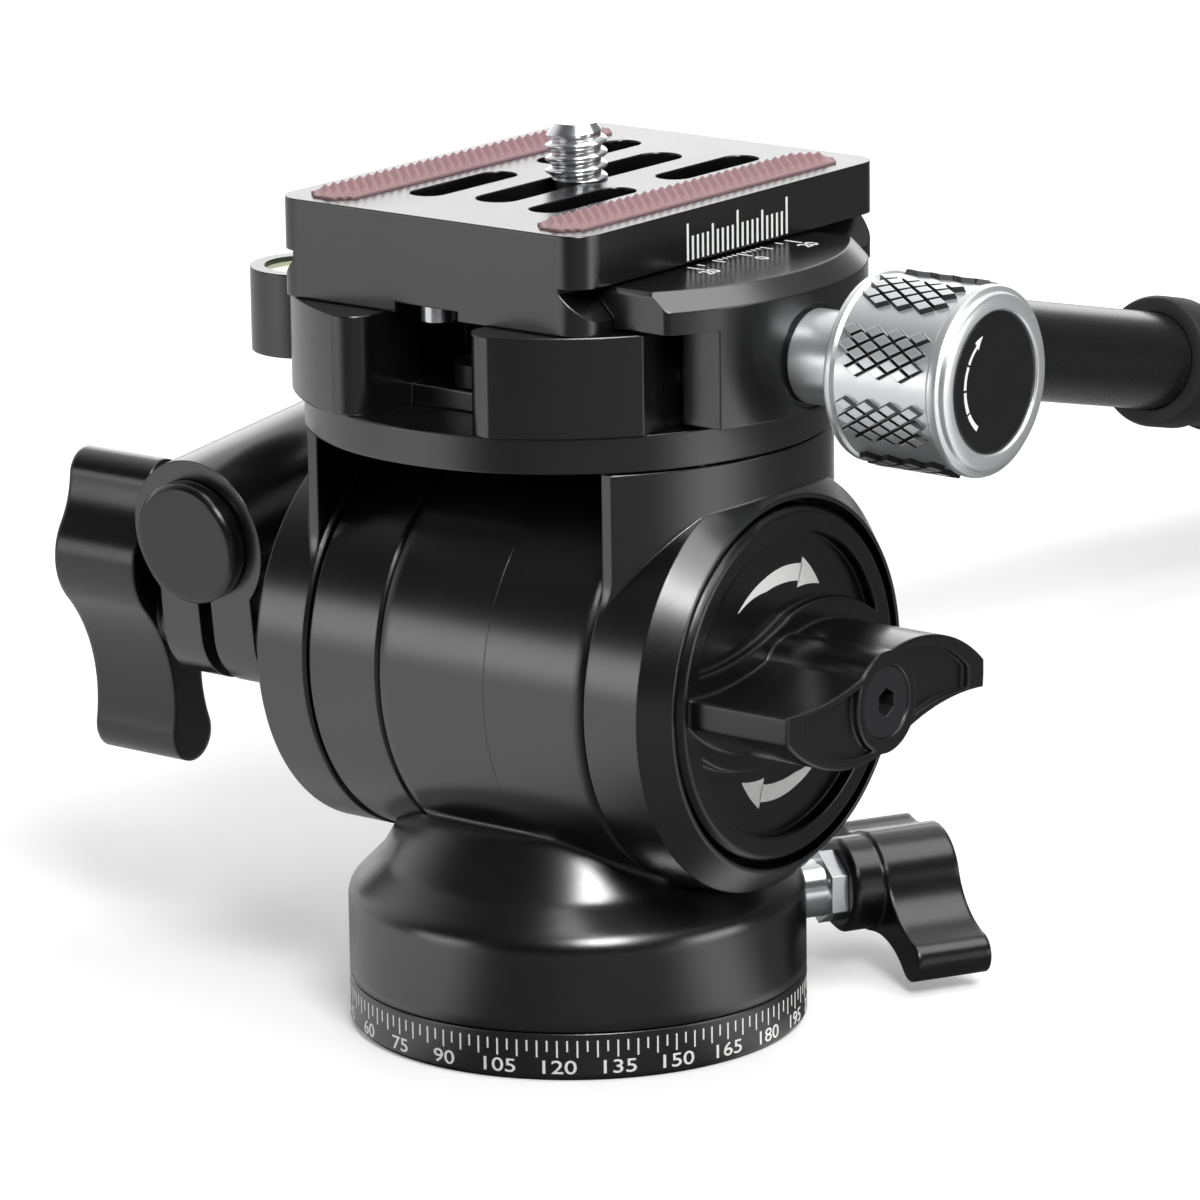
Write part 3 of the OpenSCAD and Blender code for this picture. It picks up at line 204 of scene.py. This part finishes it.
ring_r = 23.6 * MM
scale_zero = math.radians(-177.4)
tick_step = 2.5
tick_top = 4.3 * MM
tick_w = 0.18 * MM
long_tick = 1.75 * MM
short_tick = 1.15 * MM
label_step = 15
figure_foot = 0.85 * MM
figure_h = 1.45 * MM
figure_stretch = 1.35
pan_scale = bmesh.new()
for step in range(int(360 / tick_step)):
    tall = short_tick if step % 2 else long_tick
    turn = Matrix.Rotation(scale_zero + math.radians(tick_step * step), 4, "Z")
    brick(pan_scale, (ring_r, 0, tick_top - tall / 2), (print_t, tick_w, tall), turn)
for label in range(0, 360, label_step):
    label_angle = scale_zero + math.radians(label)

    def round_the_ring(point):
        angle = label_angle + point.x * figure_stretch / ring_r
        radius = ring_r + point.z
        return Vector((radius * math.cos(angle), radius * math.sin(angle), figure_foot + point.y))

    figures(pan_scale, str(label), figure_h, round_the_ring)
piece("pan_scale", pan_scale, white_paint, "pan_base")

# Inner works: turned steel and brass, nylon sliding rings and rubber seals. The castings close
# them in, and only their ends show through the seams.
bright_steel = finish("bright_steel", (0.58, 0.59, 0.61), (0.75, 0.76, 0.78), 0.26, metallic=1.0, edge=0.15)
dark_steel = finish("dark_steel", (0.035, 0.035, 0.038), (0.12, 0.12, 0.125), 0.38, metallic=0.6, edge=0.15)
turned_brass = finish("turned_brass", (0.55, 0.40, 0.16), (0.70, 0.55, 0.28), 0.32, metallic=1.0, edge=0.15)
plain_nylon = finish("plain_nylon", (0.62, 0.61, 0.57), (0.70, 0.69, 0.65), 0.5, edge=0.1)
black_rubber = finish(
    "black_rubber", (0.010, 0.010, 0.010), (0.02, 0.02, 0.02), 0.62, edge=0.3, grain=1500, bite=0.03
)
paint(bright_steel, "base_screws", "pan_spindle", "pan_nut", "wave_washer", "cap_screws", "damper_stator")
paint(bright_steel, "platform_screws", "tilt_axle")
paint(turned_brass, "pan_bush", "brake_shoe", "tilt_bushes", "damper_rotor", "knob_insert")
paint(plain_nylon, "slip_washer", "friction_washer", "clamp_washer", "screw_washer")
paint(black_rubber, "axle_seals")

# Pan housing, barrel cover and yoke: aluminium castings, machined on their seats, blasted fine
# and anodised satin black. The platform carries the quick-release clamp. The housing's edges are
# softer, as cast, and a fine parting line is left round the barrel.
soft_cast = finish("soft_cast", **black_coat, edge=1.6)
paint(satin_black, "barrel_cap", "left_cheek", "right_cheek", "platform")
paint(soft_cast, "pan_housing")


def spun(outline, place=Matrix.Identity(4), steps=72):
    """Turns an outline of height and radius about Z, as on a lathe, and puts it in place."""
    bm = bmesh.new()
    verts = [bm.verts.new((radius * MM, 0, height * MM)) for height, radius in outline]
    edges = [bm.edges.new(pair) for pair in zip(verts, verts[1:])]
    turn = {"cent": (0, 0, 0), "axis": (0, 0, 1), "angle": math.tau, "steps": steps, "use_merge": True}
    bmesh.ops.spin(bm, geom=verts + edges, **turn)
    bmesh.ops.remove_doubles(bm, verts=bm.verts, dist=1e-4 * MM)
    bmesh.ops.transform(bm, matrix=place, verts=bm.verts)
    return bm


def box_middle(node):
    """The middle of a solid's box."""
    low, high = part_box(node)
    return (low + high) / 2


def lying(x, mid):
    """Lays a turned shape along X, from x, on the axis through a middle."""
    return Matrix.Translation((x, mid.y, mid.z)) @ Matrix.Rotation(math.radians(90), 4, "Y")


cover_low, cover_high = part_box("barrel_cap")
barrel_r = (cover_high.z - cover_low.z) / 2 / MM
line_x = 5.2
line_half_w = 0.07
line_lift = 0.03
line_root = barrel_r - 0.2
line_outline = (
    (-line_half_w, line_root), (-line_half_w, barrel_r), (0, barrel_r + line_lift),
    (line_half_w, barrel_r), (line_half_w, line_root), (-line_half_w, line_root),
)
parting = spun(line_outline, lying(line_x * MM, box_middle("barrel_cap")), steps=96)
piece("parting_line", parting, satin_black, "pan_housing")

# Pan lock: a stepped lever moulded in black glass-filled plastic, on a plated steel stud that is
# screwed through the housing onto the spindle's brake shoe.
moulded_black = finish(
    "moulded_black", (0.004, 0.004, 0.0044), (0.018, 0.018, 0.02), 0.24, ior=1.6, edge=0.6
)
plated_steel = finish(
    "plated_steel", (0.74, 0.75, 0.77), (0.80, 0.81, 0.83), 0.19, metallic=0.92, edge=0.12, bite=0.002
)
paint(moulded_black, "pan_lock_wing")
paint(plated_steel, "pan_lock_stud")

# Tilt knob: a moulded disc with a waved wing across it, held by a socket screw. Two white arrows
# printed in its pockets show which way it turns.
paint(moulded_black, "tilt_knob")
paint(dark_steel, "knob_screw")

wing_rise = 11.9 * MM
pocket_depth = 1.2 * MM
print_lift = 0.03 * MM
arrow_stem = (
    (128.9, 11.02, 11.1), (116, 10.62, 11.3), (103, 10.1, 11.5), (88, 10.15, 11.85), (72, 10.36, 12.15),
)
arrow_head = ((72.6, 9.67, 12.8), (53.6, 11.04, 11.12))


def printed_band(bm, stations, place):
    """Adds a printed band through stations of angle, inner radius and outer radius."""
    spans = len(stations) - 1
    cells = 6 * spans
    grid = bmesh.ops.create_grid(bm, x_segments=cells, y_segments=1, size=0.5)["verts"]
    for vert in grid:
        along = (vert.co.x + 0.5) * spans
        first = min(int(along), spans - 1)
        share = along - first
        ends = zip(stations[first], stations[first + 1])
        angle, inner, outer = (a + (b - a) * share for a, b in ends)
        vert.co = place(math.radians(angle), (inner + (outer - inner) * (vert.co.y + 0.5)) * MM)


def thicken_print(bm):
    """Gives printed bands their thickness, once their faces know which way they point."""
    bm.normal_update()
    bmesh.ops.solidify(bm, geom=bm.faces[:], thickness=print_lift)


wing_mid = box_middle("tilt_knob")
pocket_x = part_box("tilt_knob")[1].x - wing_rise - pocket_depth + print_lift
knob_arrows = bmesh.new()
for turn in (0, math.pi):

    def on_knob(angle, radius):
        reach = Vector((0, math.cos(angle + turn), math.sin(angle + turn))) * radius
        return Vector((pocket_x, wing_mid.y, wing_mid.z)) + reach

    printed_band(knob_arrows, arrow_stem, on_knob)
    printed_band(knob_arrows, arrow_head, on_knob)
thicken_print(knob_arrows)
piece("knob_arrows", knob_arrows, white_paint, "tilt_knob")

# Quick-release clamp: a milled body screwed onto the platform, with a jaw that slides on two
# pins and is pushed open by springs. The jaw's top has a small scale for centring the plate.
paint(satin_black, "clamp_body", "movable_jaw")
paint(dark_steel, "clamp_mount_screws")
paint(bright_steel, "guide_pins", "jaw_springs", "clamp_screw")

jaw_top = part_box("movable_jaw")[1].z
scale_mid = 3.1
tick_start = 18.9
jaw_tick_w = 0.24
fine_count = 5
fine_pitch = 0.79
fine_tick = 0.6
fifth_tick = 1.5
jaw_figure_h = 1.6
jaw_figures = (("20", 22.7, -5.4), ("0", 22.9, 2.9), ("20", 22.8, 10.8))

# Each tick is its place from the scale's middle and its length.
jaw_ticks = []
for step in range(-fine_count, fine_count + 1):
    if step:
        jaw_ticks.append((step * fine_pitch, fifth_tick if abs(step) == fine_count else fine_tick))
jaw_ticks += [(0, 1.9), (-6.5, 0.9), (6.5, 0.9), (-8.1, 2.1), (8.1, 2.1)]
jaw_scale = bmesh.new()
for away, long in jaw_ticks:
    centre = Vector((tick_start + long / 2, scale_mid + away, 0)) * MM + Vector((0, 0, jaw_top))
    brick(jaw_scale, centre, (long * MM, jaw_tick_w * MM, print_t))
for words, foot_x, mid_y in jaw_figures:

    def on_jaw(point):
        return Vector((foot_x * MM - point.y, mid_y * MM + point.x, jaw_top + point.z))

    figures(jaw_scale, words, jaw_figure_h * MM, on_jaw)
piece("jaw_scale", jaw_scale, white_paint, "jaw")

# Spirit level: a round vial of green fluid pressed into a turned cup, with a printed ring and a
# bubble that floats at the middle when the head is level.
vial_fluid = finish("vial_fluid", (0.56, 0.61, 0.42), (0.6, 0.65, 0.46), 0.06, edge=0.2, bite=0.001)
bubble_skin = finish("bubble_skin", (0.70, 0.74, 0.58), (0.75, 0.78, 0.63), 0.06, edge=0.1, bite=0.001)
paint(satin_black, "level_cup")
paint(vial_fluid, "level_vial")

vial_mid = box_middle("level_vial")
vial_top = Matrix.Translation((vial_mid.x, vial_mid.y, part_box("level_vial")[1].z))
bubble_outline = ((-0.1, 0), (-0.1, 1.5), (0.02, 1.45), (0.12, 1.2), (0.2, 0.7), (0.22, 0))
bubble = spun(bubble_outline, vial_top, steps=32)
piece("level_bubble", bubble, bubble_skin, "tilt_yoke")
ring_outline = ((-0.05, 1.9), (-0.05, 2.1), (0.02, 2.1), (0.02, 1.9), (-0.05, 1.9))
level_ring = spun(ring_outline, vial_top, steps=48)
piece("level_ring", level_ring, moulded_black, "tilt_yoke")

# Clamp knob: turned aluminium, silver anodised, on the clamp screw. Eight knurled panels alternate
# with smooth flutes, and a black inset closes its end with a printed arrow for tightening.
satin_silver = finish(
    "satin_silver", (0.76, 0.77, 0.78), (0.84, 0.85, 0.86), 0.32, metallic=0.75, edge=0.15
)
# A dark grey for the knurl's grooves: painted shade, where deep grooves would lie in shadow.
painted_groove_shade = finish("painted_groove_shade", (0.05, 0.05, 0.052), (0.06, 0.06, 0.062), 0.5, metallic=0.5, edge=0.02)
paint(moulded_black, "knob_cap")

knob_low, knob_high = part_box("clamp_knob")
knob_mid = box_middle("clamp_knob")
knob_l = 14.1
knob_end = knob_high.x / MM
knob_start = knob_end - knob_l
collar_start = knob_low.x / MM
collar_r = 4.75
core_r = 9.15
crest_r = 9.7
rim_r = 9.45
face_r = 8.6
cap_seat_r = 7.05
cap_seat = knob_end - 0.9
knob_outline = (
    (collar_start, 0), (collar_start, collar_r - 0.4), (collar_start + 0.4, collar_r),
    (knob_start - 0.3, collar_r), (knob_start, collar_r + 0.3), (knob_start, rim_r - 0.5),
    (knob_start + 0.25, rim_r - 0.1), (knob_start + 0.5, rim_r), (knob_start + 1.0, rim_r),
    (knob_start + 1.3, core_r), (knob_end - 1.9, core_r), (knob_end - 1.6, rim_r), (knob_end - 1.1, rim_r),
    (knob_end - 0.75, rim_r - 0.12), (knob_end - 0.6, face_r + 0.25), (knob_end - 0.2, face_r + 0.05),
    (knob_end, face_r - 0.3), (knob_end, cap_seat_r + 0.2), (knob_end - 0.2, cap_seat_r),
    (cap_seat, cap_seat_r), (cap_seat, 0),
)
knob = spun(knob_outline, lying(0, knob_mid))

panels = 8
rows = 6
row_gap = 0.75
studs_in_row = 4
stud_pitch = 2.6
stud_root = 0.2
stud_taper = 0.78
panel_start = knob_start + 1.45
panel_end = knob_end - 1.95
lift = Matrix.Translation((0, 0, (core_r + crest_r) / 2 * MM - stud_root / 2 * MM))
stud_shape = Matrix.Diagonal((stud_pitch / 2 * MM, row_gap * MM, MM, 1))
for panel in range(panels):
    for row in range(rows):
        angle = math.tau * (panel + 0.5) / panels + (row - (rows - 1) / 2) * row_gap / core_r
        offset = row % 2
        for stud in range(studs_in_row - offset):
            x = panel_start + stud_pitch * (stud + 0.5 + 0.5 * offset)
            sit = Matrix.Translation((x * MM, knob_mid.y, knob_mid.z)) @ Matrix.Rotation(angle, 4, "X")
            bmesh.ops.create_cone(
                knob, cap_ends=True, segments=4, radius1=1.0, radius2=stud_taper,
                depth=crest_r - core_r + stud_root, matrix=sit @ lift @ stud_shape,
            )

# The studs' sides lie in the grooves of the knurl, and are coloured dark grey there as painted shade.
proud_of_core = (core_r + 0.02) * MM
side_on = 0.6
knob.normal_update()
for face in knob.faces:
    mid = face.calc_center_median()
    out = Vector((0, mid.y - knob_mid.y, mid.z - knob_mid.z))
    in_panel = panel_start < mid.x / MM < panel_end and out.length > proud_of_core
    if len(face.verts) == 4 and in_panel and abs(face.normal.dot(out.normalized())) < side_on:
        face.material_index = 1
knurled = piece("knurled_knob", knob, satin_silver, "clamp_knob")
knurled.data.materials.append(painted_groove_shade)
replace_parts(knurled, "clamp_knob")

cap_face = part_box("knob_cap")[1].x + print_lift
dash_r = 5.0
dash_thin = 0.14
dash_growth = 0.13
dashes_from = 125
dashes_sweep = 110
dash_ends = ((125, 149.6), (152.4, 178.6), (181.4, 206.6), (209.4, 234))
dash_head = ((126, 4.55, 5.5), (112, 5.27, 5.33))


def on_cap(angle, radius):
    """A point on the face of the knob's inset."""
    return Vector((cap_face, knob_mid.y + radius * math.cos(angle), knob_mid.z + radius * math.sin(angle)))


turn_arrow = bmesh.new()
for ends in dash_ends:
    dash = []
    for angle in ends:
        half = dash_thin + dash_growth * (angle - dashes_from) / dashes_sweep
        dash.append((angle, dash_r - half, dash_r + half))
    printed_band(turn_arrow, dash, on_cap)
printed_band(turn_arrow, dash_head, on_cap)
thicken_print(turn_arrow)
piece("turn_arrow", turn_arrow, white_paint, "clamp_knob")

# Pan bar's clamp: a split casting on the cheek, pinched by a lever like the pan lock's on a plated
# stud. A moulded plug closes the front of its bore.
paint(satin_black, "bar_clamp")
paint(moulded_black, "bar_wing", "bar_end_cap")
paint(plated_steel, "wing_stud")

# Pan bar: a bent aluminium tube, drawn smooth and anodised black, with a moulded rubber grip
# pushed over its end. The grip is plain at its mouth and ribbed for the hand.
tube_black = finish("tube_black", (0.010, 0.010, 0.011), (0.03, 0.03, 0.032), 0.27, edge=0.4, bite=0.001)
paint(tube_black, "pan_bar")

pivot = Vector((0, -7.6, 38)) * MM
bar_start = Vector((-37.4, 0, 10.9)) * MM
bar_lean = math.radians(6.5)
bend_at = Vector((0, 74, 0)) * MM
bend_angle = math.radians(-19.5)
on_bar = (
    Matrix.Translation(pivot) @ Matrix.Rotation(bar_lean, 4, "X") @ Matrix.Translation(bar_start)
    @ Matrix.Translation(bend_at) @ Matrix.Rotation(bend_angle, 4, "X")
    @ Matrix.Rotation(math.radians(-90), 4, "X")
)
grip_start = 101
grip_end = 202
cap_end = 205
grip_r = 8.1
bore_r = 6.05
waist_r = grip_r - 0.6
mouth = 14
rib_pitch = 3.0
rib_root_r = grip_r - 0.45
plain_end = 6
grip_outline = [
    (grip_end, 0), (grip_end, bore_r), (grip_start, bore_r), (grip_start, grip_r - 0.9),
    (grip_start + 0.3, grip_r - 0.3), (grip_start + 1.0, grip_r), (grip_start + 5.5, grip_r),
    (grip_start + 6.0, waist_r), (grip_start + mouth, waist_r),
]
for rib in range(int((grip_end - grip_start - mouth - plain_end) / rib_pitch)):
    foot = grip_start + mouth + rib * rib_pitch
    grip_outline += [
        (foot + 0.2, grip_r - 0.1), (foot + 0.5, grip_r), (foot + 1.9, grip_r), (foot + 2.2, grip_r - 0.1),
        (foot + 2.4, rib_root_r), (foot + rib_pitch, rib_root_r),
    ]
grip_outline += [
    (grip_end - 4.5, grip_r), (cap_end - 2.4, grip_r), (cap_end - 1.0, grip_r - 0.5),
    (cap_end - 0.3, grip_r - 1.3), (cap_end, grip_r - 2.6), (cap_end, 0),
]
grip = spun(grip_outline, on_bar, steps=56)
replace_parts(piece("ribbed_grip", grip, black_rubber, "pan_bar"), "bar_grip", "grip_end_cap")

# Camera plate: a milled aluminium plate with dovetail edges and slots, anodised satin black. A
# ruler is printed on its side, and two plated stop screws keep it from sliding out of the clamp.
paint(satin_black, "camera_plate")
paint(plated_steel, "stop_screws")

plate_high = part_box("camera_plate")[1]
ruler_foot = plate_high.z - 5.05 * MM
ruler_first = -4.55 * MM
ruler_pitch = 0.8225 * MM
ruler_tick_w = 0.32 * MM
ruler_ticks = 21
tick_tall = 2.4
fifth_tall = 3.1
tenth_tall = 3.75
ruler = bmesh.new()
for step in range(ruler_ticks):
    tall = (tenth_tall if step % 10 == 0 else fifth_tall if step % 5 == 0 else tick_tall) * MM
    centre = (plate_high.x, ruler_first + step * ruler_pitch, ruler_foot + tall / 2)
    brick(ruler, centre, (print_t, ruler_tick_w, tall))
piece("plate_ruler", ruler, white_paint, "camera_plate")

# Grip strips: two strips of brownish pink rubber pressed into grooves along the plate's top,
# moulded with small pyramids in a diamond pattern that bite on the camera.
pink_rubber = finish("pink_rubber", (0.30, 0.18, 0.19), (0.34, 0.22, 0.23), 0.62, edge=0.05, bite=0.004)


def corners(geometry):
    """The vertices among what an operator made."""
    return [item for item in geometry if isinstance(item, bmesh.types.BMVert)]


def close_holes(bm):
    """Fills every opening with a face."""
    bmesh.ops.holes_fill(bm, edges=[edge for edge in bm.edges if edge.is_boundary])


strip_low, strip_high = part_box("grip_strips")
strip_w = 5.4 * MM
strip_l = strip_high.y - strip_low.y
end_mid = strip_l / 2 - strip_w / 2
mid_y = (strip_low.y + strip_high.y) / 2
cells_across = 8
cells_along = 66
tooth = 0.6 * MM
strips = bmesh.new()
for mid_x in (strip_low.x + strip_w / 2, strip_high.x - strip_w / 2):
    floor_of_teeth = Matrix.Translation((mid_x, mid_y, strip_high.z - tooth))
    shape = floor_of_teeth @ Matrix.Diagonal((strip_w, strip_l, 1, 1))
    grid = {"x_segments": cells_across, "y_segments": cells_along, "size": 0.5, "matrix": shape}
    sheet = set(bmesh.ops.create_grid(strips, **grid)["verts"])
    cells = [face for face in strips.faces if all(vert in sheet for vert in face.verts)]
    past_round = []
    for face in cells:
        mid = face.calc_center_median()
        past_end = max(0, abs(mid.y - mid_y) - end_mid)
        if math.hypot(mid.x - mid_x, past_end) > strip_w / 2:
            past_round.append(face)
    bmesh.ops.delete(strips, geom=past_round, context="FACES")
    kept = [face for face in cells if face.is_valid]
    inside = set(kept)
    border = [edge for face in kept for edge in face.edges if edge.is_boundary]
    for vert in corners(bmesh.ops.extrude_edge_only(strips, edges=border)["geom"]):
        vert.co.z = strip_low.z
    for vert in strips.verts:
        if not all(face in inside for face in vert.link_faces):
            continue
        across = round((vert.co.x - mid_x) / strip_w * cells_across)
        along = round((vert.co.y - mid_y) / strip_l * cells_along)
        if (across + along) % 2 == 0:
            vert.co.z += tooth
    bmesh.ops.poke(strips, faces=kept, center_mode="MEAN")
close_holes(strips)
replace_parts(piece("toothed_strips", strips, pink_rubber, "camera_plate"), "grip_strips")

# Camera screw: a plated 1/4-20 screw with a coin slot in its head, captive in the plate's slot. Its
# thread is rolled, so that the crests are rounded, and ends in a short lead.
screw_low, screw_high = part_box("camera_screw")
screw_mid = box_middle("camera_screw")
screw_foot = screw_low.z / MM
screw_top = screw_high.z / MM
head_r = 4.8
head_t = 2.2
neck_r = 2.2
crest = 3.17
root = 2.55
inch = 25.4
pitch = inch / 20
thread_l = 5.7
thread_start = screw_top - thread_l
lead = 1.5
lead_r = 2.1
turns = 7
turns_below = 1.5
steps_round = 40
at_screw = Matrix.Translation((screw_mid.x, screw_mid.y, 0))


def slice_at(bm, point, way, **cleared):
    """Cuts a bmesh along a plane, and clears away a side where one is named."""
    geometry = bm.verts[:] + bm.edges[:] + bm.faces[:]
    bmesh.ops.bisect_plane(bm, geom=geometry, dist=1e-5 * MM, plane_co=point, plane_no=way, **cleared)


thread = bmesh.new()
ridge = (
    (0, root), (0.1, root), (0.42, crest - 0.06), (0.52, crest), (0.68, crest), (0.78, crest - 0.06),
    (1.1, root), (pitch, root),
)
start_z = thread_start - turns_below * pitch
verts = [thread.verts.new((radius * MM, 0, (start_z + height) * MM)) for height, radius in ridge]
edges = [thread.edges.new(pair) for pair in zip(verts, verts[1:])]
climb = Vector((0, 0, pitch / steps_round * MM))
helix = {"cent": (0, 0, 0), "axis": (0, 0, 1), "dvec": climb, "angle": math.tau * turns}
bmesh.ops.spin(thread, geom=verts + edges, steps=steps_round * turns, **helix)
bmesh.ops.remove_doubles(thread, verts=thread.verts, dist=1e-3 * MM)
slice_at(thread, (0, 0, thread_start * MM), (0, 0, 1), clear_inner=True)
slice_at(thread, (0, 0, screw_top * MM), (0, 0, 1), clear_outer=True)
close_holes(thread)
for vert in thread.verts:
    limit = lead_r + (crest - lead_r) * (screw_top - vert.co.z / MM) / lead
    radius = math.hypot(vert.co.x, vert.co.y) / MM
    if radius > limit:
        vert.co.x *= limit / radius
        vert.co.y *= limit / radius
bmesh.ops.transform(thread, matrix=at_screw, verts=thread.verts)
piece("screw_thread", thread, plated_steel, "camera_screw")

head_top = screw_foot + head_t
head_bevel = 0.3
shank_top = thread_start + 0.1
slot_half_w = 0.6
slot_half_l = 4.0
slot_depth = 1.0
shank_outline = (
    (screw_foot, 0), (screw_foot, head_r - head_bevel), (screw_foot + head_bevel, head_r),
    (head_top - head_bevel, head_r), (head_top, head_r - head_bevel), (head_top, neck_r),
    (shank_top, neck_r), (shank_top, 0),
)
shank = spun(shank_outline)
for across, half in ((Vector((1, 0, 0)), slot_half_w), (Vector((0, 1, 0)), slot_half_l)):
    for side in (-1, 1):
        slice_at(shank, across * side * half * MM, across)
slot_faces = []
for face in shank.faces:
    mid = face.calc_center_median() / MM
    if mid.z < screw_foot + 0.01 and abs(mid.x) < slot_half_w and abs(mid.y) < slot_half_l:
        slot_faces.append(face)
sunk = bmesh.ops.extrude_face_region(shank, geom=slot_faces)["geom"]
bmesh.ops.delete(shank, geom=slot_faces, context="FACES")
bmesh.ops.translate(shank, verts=corners(sunk), vec=(0, 0, slot_depth * MM))
bmesh.ops.transform(shank, matrix=at_screw, verts=shank.verts)
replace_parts(piece("screw_shank", shank, plated_steel, "camera_screw"), "camera_screw")

# Camera: stands where the photograph's stood, to the front right and a little above the head, far
# off and with a long lens. The photograph is 1200 pixels wide.
azimuth, elevation, roll = (math.radians(a) for a in (37.930, 14.344, -0.780))
aim_right = 2.739
aim_height = 43.858
distance = 727.901
focal_pixels = 7134.832
photo_pixels = 1200
sensor_w = 36
level_back = Vector((math.sin(azimuth), -math.cos(azimuth), 0))
back = level_back * math.cos(elevation) + Vector((0, 0, math.sin(elevation)))
right = Vector((math.cos(azimuth), math.sin(azimuth), 0))
up = back.cross(right)
aim = right * aim_right * MM + Vector((0, 0, aim_height * MM))
across = right * math.cos(roll) + up * math.sin(roll)
over = up * math.cos(roll) - right * math.sin(roll)
lens = bpy.data.cameras.new("camera")
lens.sensor_width = sensor_w
lens.lens = focal_pixels * sensor_w / photo_pixels
lens.clip_start = 0.05
camera = placed("camera", lens)
pose = Matrix((across, over, back)).transposed().to_4x4()
pose.translation = aim + back * distance * MM
camera.matrix_world = pose
bpy.context.scene.camera = camera
bpy.context.scene.view_settings.view_transform = "Standard"

# Studio: a white floor in a plain room, with dark flags on the camera's side and behind on the right
# for the black metal to mirror. The flags are no objects: they dim the world, and the floor's colour as
# painted shade, for every ray but the camera's. Low soft lamps stand at both sides, larger ones above
# and behind, and a small key lamp high on the camera's side.
flag_right = Matrix.Rotation(math.radians(115), 3, "Z") @ level_back
flags = ((level_back, 0.55, 0.85), (flag_right, 0.6, 0.9))
flag_dark = 0.12


def ramp(flow, value, start, end, low, high, shape="SMOOTHSTEP"):
    """Goes from low to high as a value goes from start to end."""
    ends = {"Value": value, "From Min": start, "From Max": end, "To Min": low, "To Max": high}
    return flow.add("MapRange", {"interpolation_type": shape}, ends)


def flagged(flow, way):
    """How far the flags leave a direction bright, from a little to all."""
    share = 1.0
    for flag, clear, full in flags:
        share = share * ramp(flow, agreement(flow, way, flag), clear, full, 1.0, flag_dark)
    return share


floor_mesh = bmesh.new()
bmesh.ops.create_circle(floor_mesh, cap_ends=True, segments=96, radius=4.0)
floor_data = bpy.data.meshes.new("floor")
floor_mesh.to_mesh(floor_data)
floor_mesh.free()
floor = placed("floor", floor_data)
pale = bpy.data.materials.new("pale_floor")
pale.use_nodes = True
shader = pale.node_tree.nodes["Principled BSDF"]
flow = Flow(pale.node_tree)
seen = flow.add("LightPath", output="Is Camera Ray")
spot = flow.add("TexCoord", output="Object")
outward = flow.add("VectorMath", {"operation": "NORMALIZE"}, {0: spot})
# The floor's colour is painted dark towards the flags for every ray but the camera's: painted shade that
# shows only in reflections and bounced light.
shade = flow.add("Clamp", inputs={0: seen + flagged(flow, outward)})
blended(flow, shade, (0, 0, 0), (0.8, 0.8, 0.8)).into(shader, "Base Color")
shader.inputs["Roughness"].default_value = 0.7
shader.inputs["Emission Strength"].default_value = 1
away = flow.add("VectorMath", {"operation": "LENGTH"}, {0: spot}, output="Value")
whiten = ramp(flow, away, start=0.2, end=1.2, low=0.25, high=1.0, shape="LINEAR")
(whiten * seen).into(shader, "Emission Color")
floor_data.materials.append(pale)

world = bpy.data.worlds.new("studio")
bpy.context.scene.world = world
world.use_nodes = True
background = world.node_tree.nodes["Background"]
flow = Flow(world.node_tree)
way = flow.add("TexCoord", output="Generated")
room = ramp(flow, agreement(flow, way, -level_back), start=-0.1, end=0.7, low=0.04, high=1.0)
room = room * flagged(flow, way)
seen = flow.add("LightPath", output="Is Camera Ray")
shown = flow.add("LightPath", output="Is Glossy Ray") + flow.add("LightPath", output="Is Transmission Ray")
shown = flow.add("Clamp", inputs={0: shown - seen})
lighting_share = 0.55
level = seen + (1 - seen) * room * (lighting_share + (1 - lighting_share) * shown)
level.into(background, "Strength")
background.inputs["Color"].default_value = (1, 1, 1, 1)


def lamp(name, place, aim, size, power):
    """Adds a flat soft lamp that faces a point."""
    data = bpy.data.lights.new(name, "AREA")
    data.shape = "RECTANGLE"
    data.size = size[0]
    data.size_y = size[1]
    data.energy = power
    obj = placed(name, data)
    obj.location = place
    obj.rotation_euler = (Vector(aim) - Vector(place)).to_track_quat("-Z", "Y").to_euler()


lamp("left_lamp", place=(-0.5, -0.8, 0.14), aim=(0, 0, 0.05), size=(0.5, 0.26), power=1.0)
lamp("right_lamp", place=(0.87, 0.3, 0.14), aim=(0, 0, 0.05), size=(0.5, 0.26), power=1.6)
lamp("back_lamp", place=(-0.95, 1.2, 0.5), aim=(0, 0, 0.08), size=(1.4, 0.8), power=5)
lamp("top_lamp", place=(0.45, 0.1, 1.1), aim=(0, 0, 0.05), size=(1.0, 1.0), power=10)
lamp("key_lamp", place=(0.62, -0.47, 0.78), aim=(0, 0, 0.05), size=(0.35, 0.35), power=9)
